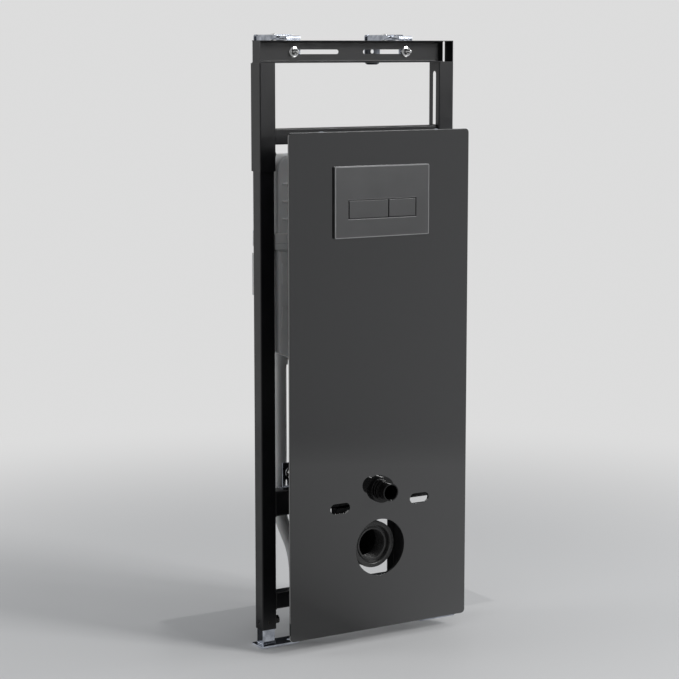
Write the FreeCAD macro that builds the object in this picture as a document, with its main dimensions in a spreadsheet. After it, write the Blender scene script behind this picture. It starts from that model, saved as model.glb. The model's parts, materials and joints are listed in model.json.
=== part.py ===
import FreeCAD, Part
import math
import os
import Sketcher

# Wall hung toilet frame: a steel frame with a low-depth cistern, a glass front panel and a flush plate.
# Millimetres, +Z up, the front is -Y and the wall is at +Y.
# Origin: on the floor, midway between the bolt holes of the two feet.

V = FreeCAD.Vector
doc = FreeCAD.newDocument("WallHungToiletFrame")
sheet = doc.addObject("Spreadsheet::Sheet", "Dims")
nodes = []


# Driving dimensions, each a named cell of the sheet


class Size:
    """A dimension, or a sum of dimensions: its number, and its formula for an expression."""

    def __init__(self, value, formula=None):
        self.value = float(value)
        self.formula = formula or f"({float(value)!r})"

    def __add__(self, other):
        other = size(other)
        return Size(self.value + other.value, f"({self.formula} + {other.formula})")

    def __sub__(self, other):
        other = size(other)
        return Size(self.value - other.value, f"({self.formula} - {other.formula})")

    def __mul__(self, other):
        other = size(other)
        return Size(self.value * other.value, f"({self.formula} * {other.formula})")

    def __truediv__(self, other):
        other = size(other)
        return Size(self.value / other.value, f"({self.formula} / {other.formula})")

    def __neg__(self):
        return Size(-self.value, f"(0 - {self.formula})")

    def __radd__(self, other):
        return size(other) + self

    def __rsub__(self, other):
        return size(other) - self

    def __rmul__(self, other):
        return size(other) * self


def size(value):
    return value if isinstance(value, Size) else Size(value)


def dim(name, value):
    """Write one driving dimension into the sheet and give it back as a Size."""
    dim.row += 1
    cell = f"A{dim.row}"
    sheet.set(cell, str(value))
    sheet.setAlias(cell, name)
    return Size(value, f"Dims.{name}")


dim.row = 0

# Frame
frameWidth = dim("frameWidth", 510)            # over both sleeves
frameTop = dim("frameTop", 1360)               # top of the top rail above the floor
boltToFront = dim("boltToFront", 12)           # sleeves' front ahead of the floor bolts
sleeveWidth = dim("sleeveWidth", 40)
sleeveDepth = dim("sleeveDepth", 40)
sheetWall = dim("sheetWall", 1.5)              # bent sheet of the sleeves and the rail
sheetBend = dim("sheetBend", 1.5)              # inner radius of the sleeves' bends
tubeWall = dim("tubeWall", 2)                  # posts, legs, crossbars and struts
tubeCorner = dim("tubeCorner", 3)              # outer radius of the tubes' corners
slideFit = dim("slideFit", 0.25)               # gap on each side of a tube that slides in another
sleeveBottom = dim("sleeveBottom", 1075)
sleeveSlotWidth = dim("sleeveSlotWidth", 13)
sleeveSlotTop = dim("sleeveSlotTop", 20)       # below the sleeve's top
sleeveSlotBottom = dim("sleeveSlotBottom", 18)  # above the sleeve's bottom
sleeveBoltRise = dim("sleeveBoltRise", 37)     # bolt in that slot, above the sleeve's bottom
postDepth = dim("postDepth", 34)
postSetback = dim("postSetback", 3.75)         # post's front behind the sleeve's
postOverlap = dim("postOverlap", 50)           # post inside the sleeve
postBottom = dim("postBottom", 37)
legOverlap = dim("legOverlap", 180)            # leg inside the post
railHeight = dim("railHeight", 49)
railInset = dim("railInset", 1)                # rail behind the sleeves' front, and short of their sides
railDepth = dim("railDepth", 37)
railBend = dim("railBend", 3)                  # inner radius of the rail's bends
railEndGap = dim("railEndGap", 3)              # between the web and the end flange
railSlotInner = dim("railSlotInner", 32)
railSlotOuter = dim("railSlotOuter", 155)
railSlotWidth = dim("railSlotWidth", 10)
upperBarBottom = dim("upperBarBottom", 1133)
upperBarHeight = dim("upperBarHeight", 35)
upperBarDepth = dim("upperBarDepth", 26)
upperBarInset = dim("upperBarInset", 8)
beamBottom = dim("beamBottom", 297.5)
beamHeight = dim("beamHeight", 57.5)
beamWall = dim("beamWall", 3)
beamBend = dim("beamBend", 2)                  # inner radius of the beam's bends
lowerBarBottom = dim("lowerBarBottom", 82.5)
lowerBarHeight = dim("lowerBarHeight", 37.5)
lowerBarDepth = dim("lowerBarDepth", 33)
strutInner = dim("strutInner", 100)            # centreline to the strut's inner face
strutWidth = dim("strutWidth", 36)
strutDepth = dim("strutDepth", 32)

# Feet and their clamp screws
footInner = dim("footInner", 165)              # plate's inner end
footBeyond = dim("footBeyond", 9)              # plate's outer end beyond the sleeve
footAhead = dim("footAhead", 22)               # plate ahead of its hole
footBehind = dim("footBehind", 24)             # plate behind its hole
footThick = dim("footThick", 4)
footCorner = dim("footCorner", 3)
footHoleX = dim("footHoleX", 180)
footHoleRadius = dim("footHoleRadius", 6)
clampHeight = dim("clampHeight", 54)
clampRadius = dim("clampRadius", 4)
screwFit = dim("screwFit", 0.3)                # gap round a screw in its hole
clampFlats = dim("clampFlats", 17)
clampHead = dim("clampHead", 13)               # head and flange, from the post
clampFlange = dim("clampFlange", 2.5)
clampFlangeRadius = dim("clampFlangeRadius", 10.5)
shankInside = dim("shankInside", 6)            # a screw's end inside the tube that it enters

# Wall brackets
boltFromEnd = dim("boltFromEnd", 7)            # rail bolt short of the slot's outer end
bracketWidth = dim("bracketWidth", 35)
bracketWall = dim("bracketWall", 3)
bracketBend = dim("bracketBend", 2)            # inner radius of the brackets' bends
wallBehind = dim("wallBehind", 184)            # wall behind the sleeves' front
railBoltZ = dim("railBoltZ", 1335)
railBoltRadius = dim("railBoltRadius", 4)
railBoltOut = dim("railBoltOut", 19)           # stud ahead of the web
washerRadius = dim("washerRadius", 12)
washerThick = dim("washerThick", 2)
nutFlats = dim("nutFlats", 13)
nutThick = dim("nutThick", 6.5)
headThick = dim("headThick", 5.5)
bracketRise = dim("bracketRise", 10.5)         # front bracket's top above the rail
bracketReach = dim("bracketReach", 106)        # front bracket's tongue behind the rail
bracketDrop = dim("bracketDrop", 6)            # front bracket's lower end above the sleeves' top
frontSide = dim("frontSide", 9)                # front bracket's side flanges
reliefLength = dim("reliefLength", 25)         # slit between a side flange and the front bracket's top
reliefWidth = dim("reliefWidth", 2.5)
rearSide = dim("rearSide", 14)                 # rear bracket's side flanges
rearTip = dim("rearTip", 4)                    # their height at the front end
rearTaper = dim("rearTaper", 41)               # from there to their full height
rearFrom = dim("rearFrom", 78)                 # rear bracket's front end, behind the sleeves' front
rearRelief = dim("rearRelief", 14)             # its side flanges end short of the wall plate
wallPlateHeight = dim("wallPlateHeight", 69)
wallPlateCorner = dim("wallPlateCorner", 10)
wallHoleRadius = dim("wallHoleRadius", 5)
bracketBoltY = dim("bracketBoltY", 128)        # behind the sleeves' front
domeRadius = dim("domeRadius", 8)              # the head of the bolt between the brackets
domeThick = dim("domeThick", 3.3)
tongueSlotAhead = dim("tongueSlotAhead", 22)   # of the bolt
tongueSlotBehind = dim("tongueSlotBehind", 12)

# Brackets on the mid beam
beamBracketOuter = dim("beamBracketOuter", 190)
beamBracketWidth = dim("beamBracketWidth", 38)
beamBracketHeight = dim("beamBracketHeight", 60)
beamBracketY = dim("beamBracketY", 20)         # plate's front behind the sleeves' front
beamBracketSlot = dim("beamBracketSlot", 5)
beamBracketSlotHeight = dim("beamBracketSlotHeight", 15)
beamBoltZ = dim("beamBoltZ", 37)               # above the beam
beamBoltOut = dim("beamBoltOut", 10.5)         # its end ahead of the plate

# Water and waste
wasteZ = dim("wasteZ", 220)
flushRise = dim("flushRise", 135)              # flush axis above the waste axis
toiletRise = dim("toiletRise", 102)            # toilet bolts above the waste axis
toiletNarrow = dim("toiletNarrow", 180)        # hole spacings in the beam
toiletWide = dim("toiletWide", 230)
toiletHoleRadius = dim("toiletHoleRadius", 6.5)
flushRadius = dim("flushRadius", 20)
flushWall = dim("flushWall", 3)
flushOut = dim("flushOut", 45)                 # end of the connector ahead of the glass
neckRadius = dim("neckRadius", 23.5)
neckLength = dim("neckLength", 9)              # ahead of the collar
collarRadius = dim("collarRadius", 30)
collarThick = dim("collarThick", 12)
bendRadius = dim("bendRadius", 60)
bendPipeRadius = dim("bendPipeRadius", 25)
notchFit = dim("notchFit", 5)                  # beam notch round the flush bend
elbowRadius = dim("elbowRadius", 55)
elbowWall = dim("elbowWall", 3.5)
elbowBend = dim("elbowBend", 62)
elbowY = dim("elbowY", 100)                    # down pipe's axis behind the sleeves' front
elbowBottom = dim("elbowBottom", 105)
gasketRadius = dim("gasketRadius", 54)
gasketBack = dim("gasketBack", 27.4)           # gasket's face behind the panel's face
gasketStep = dim("gasketStep", 43.5)
gasketBore = dim("gasketBore", 34)
gasketStepDepth = dim("gasketStepDepth", 12)
gasketLip = dim("gasketLip", 4)                # lip round the bore, ahead of the step
gasketLipWall = dim("gasketLipWall", 3.5)
gasketRound = dim("gasketRound", 2)
gasketBoreLength = dim("gasketBoreLength", 40)
gasketLength = dim("gasketLength", 64)
saddleHalf = dim("saddleHalf", 58)
saddleDrop = dim("saddleDrop", 35)
saddleWall = dim("saddleWall", 5)
saddleDepth = dim("saddleDepth", 28)

# Cistern
cisternFront = dim("cisternFront", 13)         # behind the sleeves' front
cisternDepth = dim("cisternDepth", 89)
tankGap = dim("tankGap", 10.75)                # between the lower shell and a post
hoodIn = dim("hoodIn", 2.5)                    # upper shell short of the lower one
hoodTop = dim("hoodTop", 1108)
hoodCorner = dim("hoodCorner", 30)
hoodRound = dim("hoodRound", 6)
bandOut = dim("bandOut", 6)                    # band beyond the lower shell
hoodHeight = dim("hoodHeight", 172)            # upper shell above the band
bandUpper = dim("bandUpper", 22)               # band's part on the upper shell
bandLower = dim("bandLower", 13)               # and on the lower one
bandProud = dim("bandProud", 2)
bandBack = dim("bandBack", 12)                 # band's back behind the shells
grooveHeight = dim("grooveHeight", 6)
tankSide = dim("tankSide", 671)                # bottom of the sides
tankDrop = dim("tankDrop", 96)                 # fall from the sides to the middle
tankRound = dim("tankRound", 12)
ribProud = dim("ribProud", 2)
ribHeight = dim("ribHeight", 4)
ribLength = dim("ribLength", 68)
ribDown = dim("ribDown", 64)                   # first rib below the upper shell's top
ribPitch = dim("ribPitch", 39)
veeDown = dim("veeDown", 31)                   # first V band below the band
veePitch = dim("veePitch", 97)
veeHeight = dim("veeHeight", 45.5)
bossBottom = dim("bossBottom", 790)
bossTop = dim("bossTop", 885)
bossOut = dim("bossOut", 8)                    # boss beyond the lower shell
bossDepth = dim("bossDepth", 30)
outletRadius = dim("outletRadius", 32)
outletLength = dim("outletLength", 40)

# Conduit beside the flush bend
conduitRadius = dim("conduitRadius", 15)
conduitWall = dim("conduitWall", 2)
conduitX = dim("conduitX", 168)                # from the centreline to its fall, on the left
conduitBehind = dim("conduitBehind", 30)       # its axis behind the sleeves' back
conduitFallEnd = dim("conduitFallEnd", 400)
conduitBendX = dim("conduitBendX", 170)
conduitBendBack = dim("conduitBendBack", 10)
conduitBendZ = dim("conduitBendZ", 290)
conduitLowX = dim("conduitLowX", 125)
conduitLowBack = dim("conduitLowBack", 15)
conduitLowZ = dim("conduitLowZ", 190)
conduitEndX = dim("conduitEndX", 118)
conduitEndZ = dim("conduitEndZ", 120)
socketWall = dim("socketWall", 3)
socketBottom = dim("socketBottom", 38)         # below the edge of the cistern's side
socketDepth = dim("socketDepth", 22)

# Panel and flush plate
panelAhead = dim("panelAhead", 92.5)           # panel's face ahead of the sleeves' front
panelWidth = dim("panelWidth", 470)
panelBottom = dim("panelBottom", 31)
panelTop = dim("panelTop", 1163)
panelThick = dim("panelThick", 6)
panelCorner = dim("panelCorner", 9)
panelArris = dim("panelArris", 0.8)
wasteHoleRadius = dim("wasteHoleRadius", 65)
slotX = dim("slotX", 106)
slotLength = dim("slotLength", 51)
slotWidth = dim("slotWidth", 23)
panelFit = dim("panelFit", 0.3)
plateWidth = dim("plateWidth", 247)
plateHeight = dim("plateHeight", 158)
plateZ = dim("plateZ", 1008)
plateThick = dim("plateThick", 7)
plateCorner = dim("plateCorner", 3)
plateArris = dim("plateArris", 1)
stripHalf = dim("stripHalf", 87)
stripHeight = dim("stripHeight", 39)
stripDrop = dim("stripDrop", 16)               # buttons' middle below the plate's
stripSplit = dim("stripSplit", 15.5)
buttonGap = dim("buttonGap", 1.6)
buttonThick = dim("buttonThick", 4)
buttonTravel = dim("buttonTravel", 4)
buttonArris = dim("buttonArris", 0.6)
carrierGap = dim("carrierGap", 3)              # between a pressed button and the carrier
rodRadius = dim("rodRadius", 3)
rodFit = dim("rodFit", 0.3)
rodClear = dim("rodClear", 2)                  # pressed rod's end ahead of the cistern
shaftHalf = dim("shaftHalf", 95)
shaftHigh = dim("shaftHigh", 80)
shaftWall = dim("shaftWall", 3)
carrierThick = dim("carrierThick", 6)
spacerRadius = dim("spacerRadius", 4)
standoffX = dim("standoffX", 150)
standoffRadius = dim("standoffRadius", 8)
padRadius = dim("padRadius", 22)
padThick = dim("padThick", 4)

# Planes that several pieces share
half = frameWidth / 2
front = -boltToFront
sleeveBack = front + sleeveDepth
sleeveTop = frameTop - railHeight
middleY = front + sleeveDepth / 2
footOuter = half + footBeyond
postOuter = half - sheetWall - slideFit
postInner = half - sleeveWidth + sheetWall + slideFit
postFront = front + postSetback
postBack = postFront + postDepth
legOuter = postOuter - tubeWall - slideFit
legInner = postInner + tubeWall + slideFit
legFront = postFront + tubeWall + slideFit
legBack = postBack - tubeWall - slideFit
bracketX = railSlotOuter - boltFromEnd
railFront = front + railInset
railBack = railFront + railDepth
wall = front + wallBehind
beamTop = beamBottom + beamHeight
lowerBarTop = lowerBarBottom + lowerBarHeight
flushZ = wasteZ + flushRise
toiletZ = wasteZ + toiletRise
panelFace = front - panelAhead
panelBack = panelFace + panelThick
tankFront = front + cisternFront
tankBack = tankFront + cisternDepth
bandTop = hoodTop - hoodHeight
bandJoin = bandTop - bandUpper
bandBottom = bandJoin - bandLower
tankHalf = postInner - tankGap
hoodHalf = tankHalf - hoodIn
bandHalf = tankHalf + bandOut
bossHalf = tankHalf + bossOut
stripZ = plateZ - stripDrop


# Makers of shapes


def bind(made, values):
    """Tie properties of an object to the sheet."""
    for prop, value in values.items():
        made.setExpression(prop, size(value).formula)
    return made


def block(name, x, y, z):
    """A box between two values on each axis."""
    made = doc.addObject("Part::Box", name)
    for prop, axis, (low, high) in (("Length", "x", x), ("Width", "y", y), ("Height", "z", z)):
        bind(made, {prop: size(high) - low, "Placement.Base." + axis: low})
    return made


TURNS = {
    "x": FreeCAD.Rotation(V(0, 1, 0), 90),
    "y": FreeCAD.Rotation(V(1, 0, 0), -90),
    "z": FreeCAD.Rotation(),
}


def round_(kind, name, along, ends, sizes, centre):
    made = doc.addObject(kind, name)
    made.Placement = FreeCAD.Placement(V(), TURNS[along])
    low, high = ends
    bind(made, {"Height": size(high) - low, "Placement.Base." + along: low})
    bind(made, sizes)
    bind(made, {"Placement.Base." + axis: value for axis, value in centre.items()})
    return made


def rod(name, along, ends, radius, **centre):
    """A cylinder along x, y or z between two values."""
    return round_("Part::Cylinder", name, along, ends, {"Radius": radius}, centre)


def hexagon(name, along, ends, flats, **centre):
    """A hexagonal prism, as a nut or a bolt head, by its size across flats."""
    across = size(flats) / math.sqrt(3)
    made = round_("Part::Prism", name, along, ends, {"Circumradius": across}, centre)
    made.Polygon = 6
    return made


def join(name, parts):
    made = doc.addObject("Part::MultiFuse", name)
    made.Shapes = parts
    made.Refine = True
    return made


def carve(name, base, tools):
    """Cut the tools out of the base."""
    made = doc.addObject("Part::Cut", name)
    made.Base = base
    made.Tool = tools[0] if len(tools) == 1 else join(name + "_cuts", tools)
    made.Refine = True
    return made


def group(name, parts):
    """Solids of one node that don't touch."""
    made = doc.addObject("Part::Compound", name)
    made.Links = parts
    return made


def slot(name, through, ends, run, middle, width, cross):
    """A round-ended cutter through one axis, from end to end along another."""
    third = ({"x", "y", "z"} - {through, run}).pop()
    low, high = middle
    radius = size(width) / 2
    spans = {through: ends, run: (size(low) + radius, size(high) - radius)}
    spans[third] = (size(cross) - radius, size(cross) + radius)
    parts = [block(name + "_middle", spans["x"], spans["y"], spans["z"])]
    for end, value in zip(("low", "high"), spans[run]):
        parts.append(rod(f"{name}_{end}", through, ends, radius, **{run: value, third: cross}))
    return join(name, parts)


PLANES = {"XY": ("XY_Plane", 1), "XZ": ("XZ_Plane", -1), "YZ": ("YZ_Plane", 1)}


def sketchOn(body, name, plane, offset, lift=0):
    """A sketch on one of the body's origin planes, moved along its normal, and up in the plane."""
    role, direction = PLANES[plane]
    sketch = body.newObject("Sketcher::SketchObject", name)
    found = [feature for feature in body.Origin.OriginFeatures if feature.Role == role]
    sketch.AttachmentSupport = [(found[0], "")]
    sketch.MapMode = "FlatFace"
    bind(sketch, {"AttachmentOffset.Base.z": size(offset) * direction, "AttachmentOffset.Base.y": lift})
    return sketch


def outline(sketch, points):
    """A closed outline whose corners are each tied to the sheet."""
    first = sketch.GeometryCount
    count = len(points)
    corners = [(size(across), size(up)) for across, up in points]
    for index in range(count):
        start = corners[index]
        end = corners[(index + 1) % count]
        line = Part.LineSegment(V(start[0].value, start[1].value, 0), V(end[0].value, end[1].value, 0))
        sketch.addGeometry(line, False)
    for index in range(count):
        follower = first + (index + 1) % count
        sketch.addConstraint(Sketcher.Constraint("Coincident", first + index, 2, follower, 1))
    for index, corner in enumerate(corners):
        for kind, value, axis in (("DistanceX", corner[0], -2), ("DistanceY", corner[1], -1)):
            if value.value == 0:
                sketch.addConstraint(Sketcher.Constraint("PointOnObject", first + index, 1, axis))
            else:
                made = Sketcher.Constraint(kind, -1, 1, first + index, 1, value.value)
                number = sketch.addConstraint(made)
                sketch.setExpression(f"Constraints[{number}]", value.formula)


def profile(name, plane, ends, *outlines):
    """A body padded from one sketch of outlines, between two values on the plane's normal."""
    low, high = ends
    body = doc.addObject("PartDesign::Body", name)
    offset = low if PLANES[plane][1] > 0 else high
    sketch = sketchOn(body, name + "_sketch", plane, offset)
    for points in outlines:
        outline(sketch, points)
    pad = body.newObject("PartDesign::Pad", name + "_pad")
    pad.Profile = sketch
    pad.setExpression("Length", (size(high) - low).formula)
    doc.recompute()
    return body


def turned(name, lift, points):
    """A body turned about a line along y at a height, from points of place and radius."""
    body = doc.addObject("PartDesign::Body", name)
    sketch = sketchOn(body, name + "_sketch", "YZ", 0, lift)
    outline(sketch, points)
    made = body.newObject("PartDesign::Revolution", name + "_turn")
    made.Profile = sketch
    made.ReferenceAxis = (sketch, ["H_Axis"])
    made.Angle = 360
    doc.recompute()
    return body


def rounded(body, name, radius, chosen):
    """Fillet the chosen edges of a body's last shape."""
    before = body.Tip
    edges = [f"Edge{number + 1}" for number, edge in enumerate(before.Shape.Edges) if chosen(edge)]
    made = body.newObject("PartDesign::Fillet", name)
    made.Base = (before, edges)
    made.setExpression("Radius", size(radius).formula)
    body.Tip = made
    doc.recompute()
    return body


def bevelled(body, name, width, chosen):
    """Chamfer the chosen edges of a body's last shape."""
    before = body.Tip
    edges = [f"Edge{number + 1}" for number, edge in enumerate(before.Shape.Edges) if chosen(edge)]
    made = body.newObject("PartDesign::Chamfer", name)
    made.Base = (before, edges)
    made.setExpression("Size", size(width).formula)
    body.Tip = made
    doc.recompute()
    return body


def runs(edge, axis):
    """True for a straight edge along an axis."""
    first, last = edge.Vertexes[0].Point, edge.Vertexes[-1].Point
    span = last - first
    return span.Length > 0 and abs(getattr(span, axis)) > 0.999 * span.Length


def near(value, *planes):
    """True where a place lies on one of the planes."""
    return any(abs(value - size(plane).value) < 0.001 for plane in planes)


def span(sign, inner, outer):
    """The two ends of a piece beside the centreline, on the side that the sign gives."""
    return (size(inner), size(outer)) if sign > 0 else (-size(outer), -size(inner))


def rectangle(x, y):
    return [(x[0], y[0]), (x[1], y[0]), (x[1], y[1]), (x[0], y[1])]


def inset(ends, by):
    return (size(ends[0]) + by, size(ends[1]) - by)


AXES = {"XY": ("z", "x", "y"), "XZ": ("y", "x", "z"), "YZ": ("x", "y", "z")}


def tube(name, plane, ends, across, up):
    """A rectangular tube with rounded corners, whose length is along the plane's normal."""
    body = profile(name, plane, ends, rectangle(across, up),
                   rectangle(inset(across, tubeWall), inset(up, tubeWall)))
    along, first, _ = AXES[plane]

    def outer(edge):
        return runs(edge, along) and near(getattr(edge.CenterOfMass, first), *across)

    def inner(edge):
        return runs(edge, along) and near(getattr(edge.CenterOfMass, first), *inset(across, tubeWall))

    rounded(body, name + "_inner", tubeCorner - tubeWall, inner)
    return rounded(body, name + "_outer", tubeCorner, outer)


def node(name, made):
    """Name a finished piece: the label is its file's name."""
    made.Label = name
    nodes.append(made)
    return made


SIDES = (("left", -1), ("right", 1))


# Uprights


def uprights(side, sign):
    outer = span(sign, half - sheetWall, half)
    inner = span(sign, half - sleeveWidth, half - sleeveWidth + sheetWall)
    outside = half * sign
    insideEdge = (half - sleeveWidth) * sign
    thick = sheetWall * sign
    channel = [
        (outside, sleeveBack), (outside, front), (insideEdge, front), (insideEdge, sleeveBack),
        (insideEdge + thick, sleeveBack), (insideEdge + thick, front + sheetWall),
        (outside - thick, front + sheetWall), (outside - thick, sleeveBack),
    ]
    body = profile(f"{side}_sleeve_body", "XY", (sleeveBottom, sleeveTop), channel)
    rounded(body, f"{side}_sleeve_bends", sheetBend,
            lambda edge: runs(edge, "z") and near(edge.CenterOfMass.y, front + sheetWall))
    rounded(body, f"{side}_sleeve_corners", sheetBend + sheetWall,
            lambda edge: runs(edge, "z") and near(edge.CenterOfMass.y, front))
    cutter = slot(f"{side}_sleeve_slot", "x", inset(inner, -1), "z",
                  (sleeveBottom + sleeveSlotBottom, sleeveTop - sleeveSlotTop), sleeveSlotWidth, middleY)
    node(f"{side}_sleeve", carve(f"{side}_sleeve_cut", body, [cutter]))

    outerX = span(sign, postInner, postOuter)
    outerY = (postFront, postBack)
    post = tube(f"{side}_post_body", "XY", (postBottom, sleeveBottom + postOverlap), outerX, outerY)
    middleX = (postInner + postOuter) / 2 * sign
    hole = clampRadius + screwFit
    cuts = [
        rod(f"{side}_post_hole", "x", inset(outerX, -1), hole, y=middleY, z=clampHeight),
        rod(f"{side}_post_front_hole", "y", (postFront - 1, postFront + tubeWall + 1), hole,
            x=middleX, z=clampHeight),
        rod(f"{side}_post_bolt_hole", "x", inset(span(sign, postInner, postInner + tubeWall), -1),
            railBoltRadius + screwFit, y=middleY, z=sleeveBottom + sleeveBoltRise),
    ]
    node(f"{side}_post", carve(f"{side}_post_cut", post, cuts))

    legX = span(sign, legInner, legOuter)
    legY = (legFront, legBack)
    leg = tube(f"{side}_leg_body", "XY", (footThick, postBottom + legOverlap), legX, legY)
    plate = profile(f"{side}_foot_plate", "XY", (0, footThick),
                    rectangle(span(sign, footInner, footOuter), (-footAhead, footBehind)))
    rounded(plate, f"{side}_foot_corners", footCorner, lambda edge: runs(edge, "z"))
    foot = join(f"{side}_foot_join", [leg, plate])
    cuts = [
        rod(f"{side}_foot_hole", "z", (-1, footThick + 1), footHoleRadius, x=footHoleX * sign, y=0),
        rod(f"{side}_leg_hole", "x", inset(legX, -1), hole, y=middleY, z=clampHeight),
    ]
    node(f"{side}_foot", carve(f"{side}_foot_cut", foot, cuts))


def clampScrews():
    """A screw through the inner side of each post that clamps the leg, with its flanged head."""
    made = []
    for side, sign in SIDES:
        head = span(sign, postInner - clampHead, postInner - clampFlange)
        flange = span(sign, postInner - clampFlange, postInner)
        shank = span(sign, postInner, legInner + shankInside)
        made.append(join(f"{side}_clamp_screw", [
            hexagon(f"{side}_clamp_head", "x", head, clampFlats, y=middleY, z=clampHeight),
            rod(f"{side}_clamp_flange", "x", flange, clampFlangeRadius, y=middleY, z=clampHeight),
            rod(f"{side}_clamp_shank", "x", shank, clampRadius, y=middleY, z=clampHeight),
        ]))
    node("clamp_screws", group("clamp_screws_group", made))


def sleeveBolts():
    """A bolt through each sleeve's slot into the post."""
    height = sleeveBottom + sleeveBoltRise
    face = half - sleeveWidth
    made = []
    for side, sign in SIDES:
        made.append(join(f"{side}_sleeve_bolt", [
            hexagon(f"{side}_sleeve_bolt_head", "x",
                    span(sign, face - washerThick - nutThick, face - washerThick), nutFlats,
                    y=middleY, z=height),
            rod(f"{side}_sleeve_bolt_washer", "x", span(sign, face - washerThick, face), washerRadius,
                y=middleY, z=height),
            rod(f"{side}_sleeve_bolt_shank", "x", span(sign, face, postInner + shankInside), railBoltRadius,
                y=middleY, z=height),
        ]))
    node("sleeve_bolts", group("sleeve_bolts_group", made))


# Top rail: a channel of sheet that opens to the front, with slots for the wall brackets


def topRail():
    web = railBack - sheetWall
    top = frameTop
    bottom = sleeveTop
    reach = half - railInset
    section = [
        (railFront, bottom), (railBack, bottom), (railBack, top), (railFront, top),
        (railFront, top - sheetWall), (web, top - sheetWall), (web, bottom + sheetWall),
        (railFront, bottom + sheetWall),
    ]
    body = profile("top_rail_body", "YZ", (-reach, reach), section)
    rounded(body, "top_rail_bends", railBend, lambda edge: runs(edge, "x") and near(edge.CenterOfMass.y, web))
    rounded(body, "top_rail_corners", railBend + sheetWall,
            lambda edge: runs(edge, "x") and near(edge.CenterOfMass.y, railBack))
    parts = [body]
    cuts = []
    for side, sign in SIDES:
        flange = span(sign, reach - sheetWall, reach)
        parts.append(block(f"{side}_rail_flange", flange, (railFront, web - railBend), (bottom, top)))
        gap = span(sign, reach - sheetWall - railEndGap, reach + 1)
        cuts.append(block(f"{side}_rail_gap", gap, (web - railBend, railBack + 1),
                          (bottom + sheetWall, top - sheetWall)))
        cuts.append(slot(f"{side}_rail_slot", "y", (web - 1, railBack + 1), "x",
                         span(sign, railSlotInner, railSlotOuter), railSlotWidth, railBoltZ))
    node("top_rail", carve("top_rail_cut", join("top_rail_join", parts), cuts))


# Crossbars, mid beam and struts


def crossbars():
    reach = half - sleeveWidth
    upperY = (front + upperBarInset, front + upperBarInset + upperBarDepth)
    upperZ = (upperBarBottom, upperBarBottom + upperBarHeight)
    node("upper_crossbar", tube("upper_crossbar_body", "YZ", (-reach, reach), upperY, upperZ))

    lowerY = (postFront, postFront + lowerBarDepth)
    lowerZ = (lowerBarBottom, lowerBarTop)
    node("lower_crossbar", tube("lower_crossbar_body", "YZ", (-postInner, postInner), lowerY, lowerZ))

    web = postFront + beamWall
    section = [
        (postFront, beamBottom), (postBack, beamBottom), (postBack, beamBottom + beamWall),
        (web, beamBottom + beamWall), (web, beamTop - beamWall), (postBack, beamTop - beamWall),
        (postBack, beamTop), (postFront, beamTop),
    ]
    channel = profile("mid_beam_body", "YZ", (-postInner, postInner), section)
    rounded(channel, "mid_beam_bends", beamBend,
            lambda edge: runs(edge, "x") and near(edge.CenterOfMass.y, web))
    rounded(channel, "mid_beam_corners", beamBend + beamWall,
            lambda edge: runs(edge, "x") and near(edge.CenterOfMass.y, postFront))
    notch = bendPipeRadius + notchFit
    cuts = [
        rod("mid_beam_notch", "y", (postFront - 1, postBack + 1), notch, x=0, z=flushZ),
    ]
    for spacing, title in ((toiletNarrow, "narrow"), (toiletWide, "wide")):
        for side, sign in SIDES:
            cuts.append(rod(f"{side}_{title}_hole", "y", (postFront - 1, web + 1), toiletHoleRadius,
                            x=spacing / 2 * sign, z=toiletZ))
    node("mid_beam", carve("mid_beam_cut", channel, cuts))

    strutBack = postFront + lowerBarDepth
    for side, sign in SIDES:
        x = span(sign, strutInner, strutInner + strutWidth)
        y = (strutBack - strutDepth, strutBack)
        node(f"{side}_waste_strut", tube(f"{side}_strut_body", "XY", (lowerBarTop, beamBottom), x, y))


# Wall brackets: one bolted behind the rail, and one that slides on its tongue to the wall


def bentChannel(name, x, ends, top, height):
    """A channel of bent sheet along y that opens downwards, with rounded bends."""
    low = top - height
    inside = top - bracketWall
    left, right = inset(x, bracketWall)
    section = [
        (x[0], low), (left, low), (left, inside), (right, inside), (right, low), (x[1], low), (x[1], top),
        (x[0], top),
    ]
    body = profile(name, "XZ", ends, section)
    rounded(body, name + "_bends", bracketBend,
            lambda edge: runs(edge, "y") and near(edge.CenterOfMass.z, inside))
    return rounded(body, name + "_corners", bracketBend + bracketWall,
                   lambda edge: runs(edge, "y") and near(edge.CenterOfMass.z, top))


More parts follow.
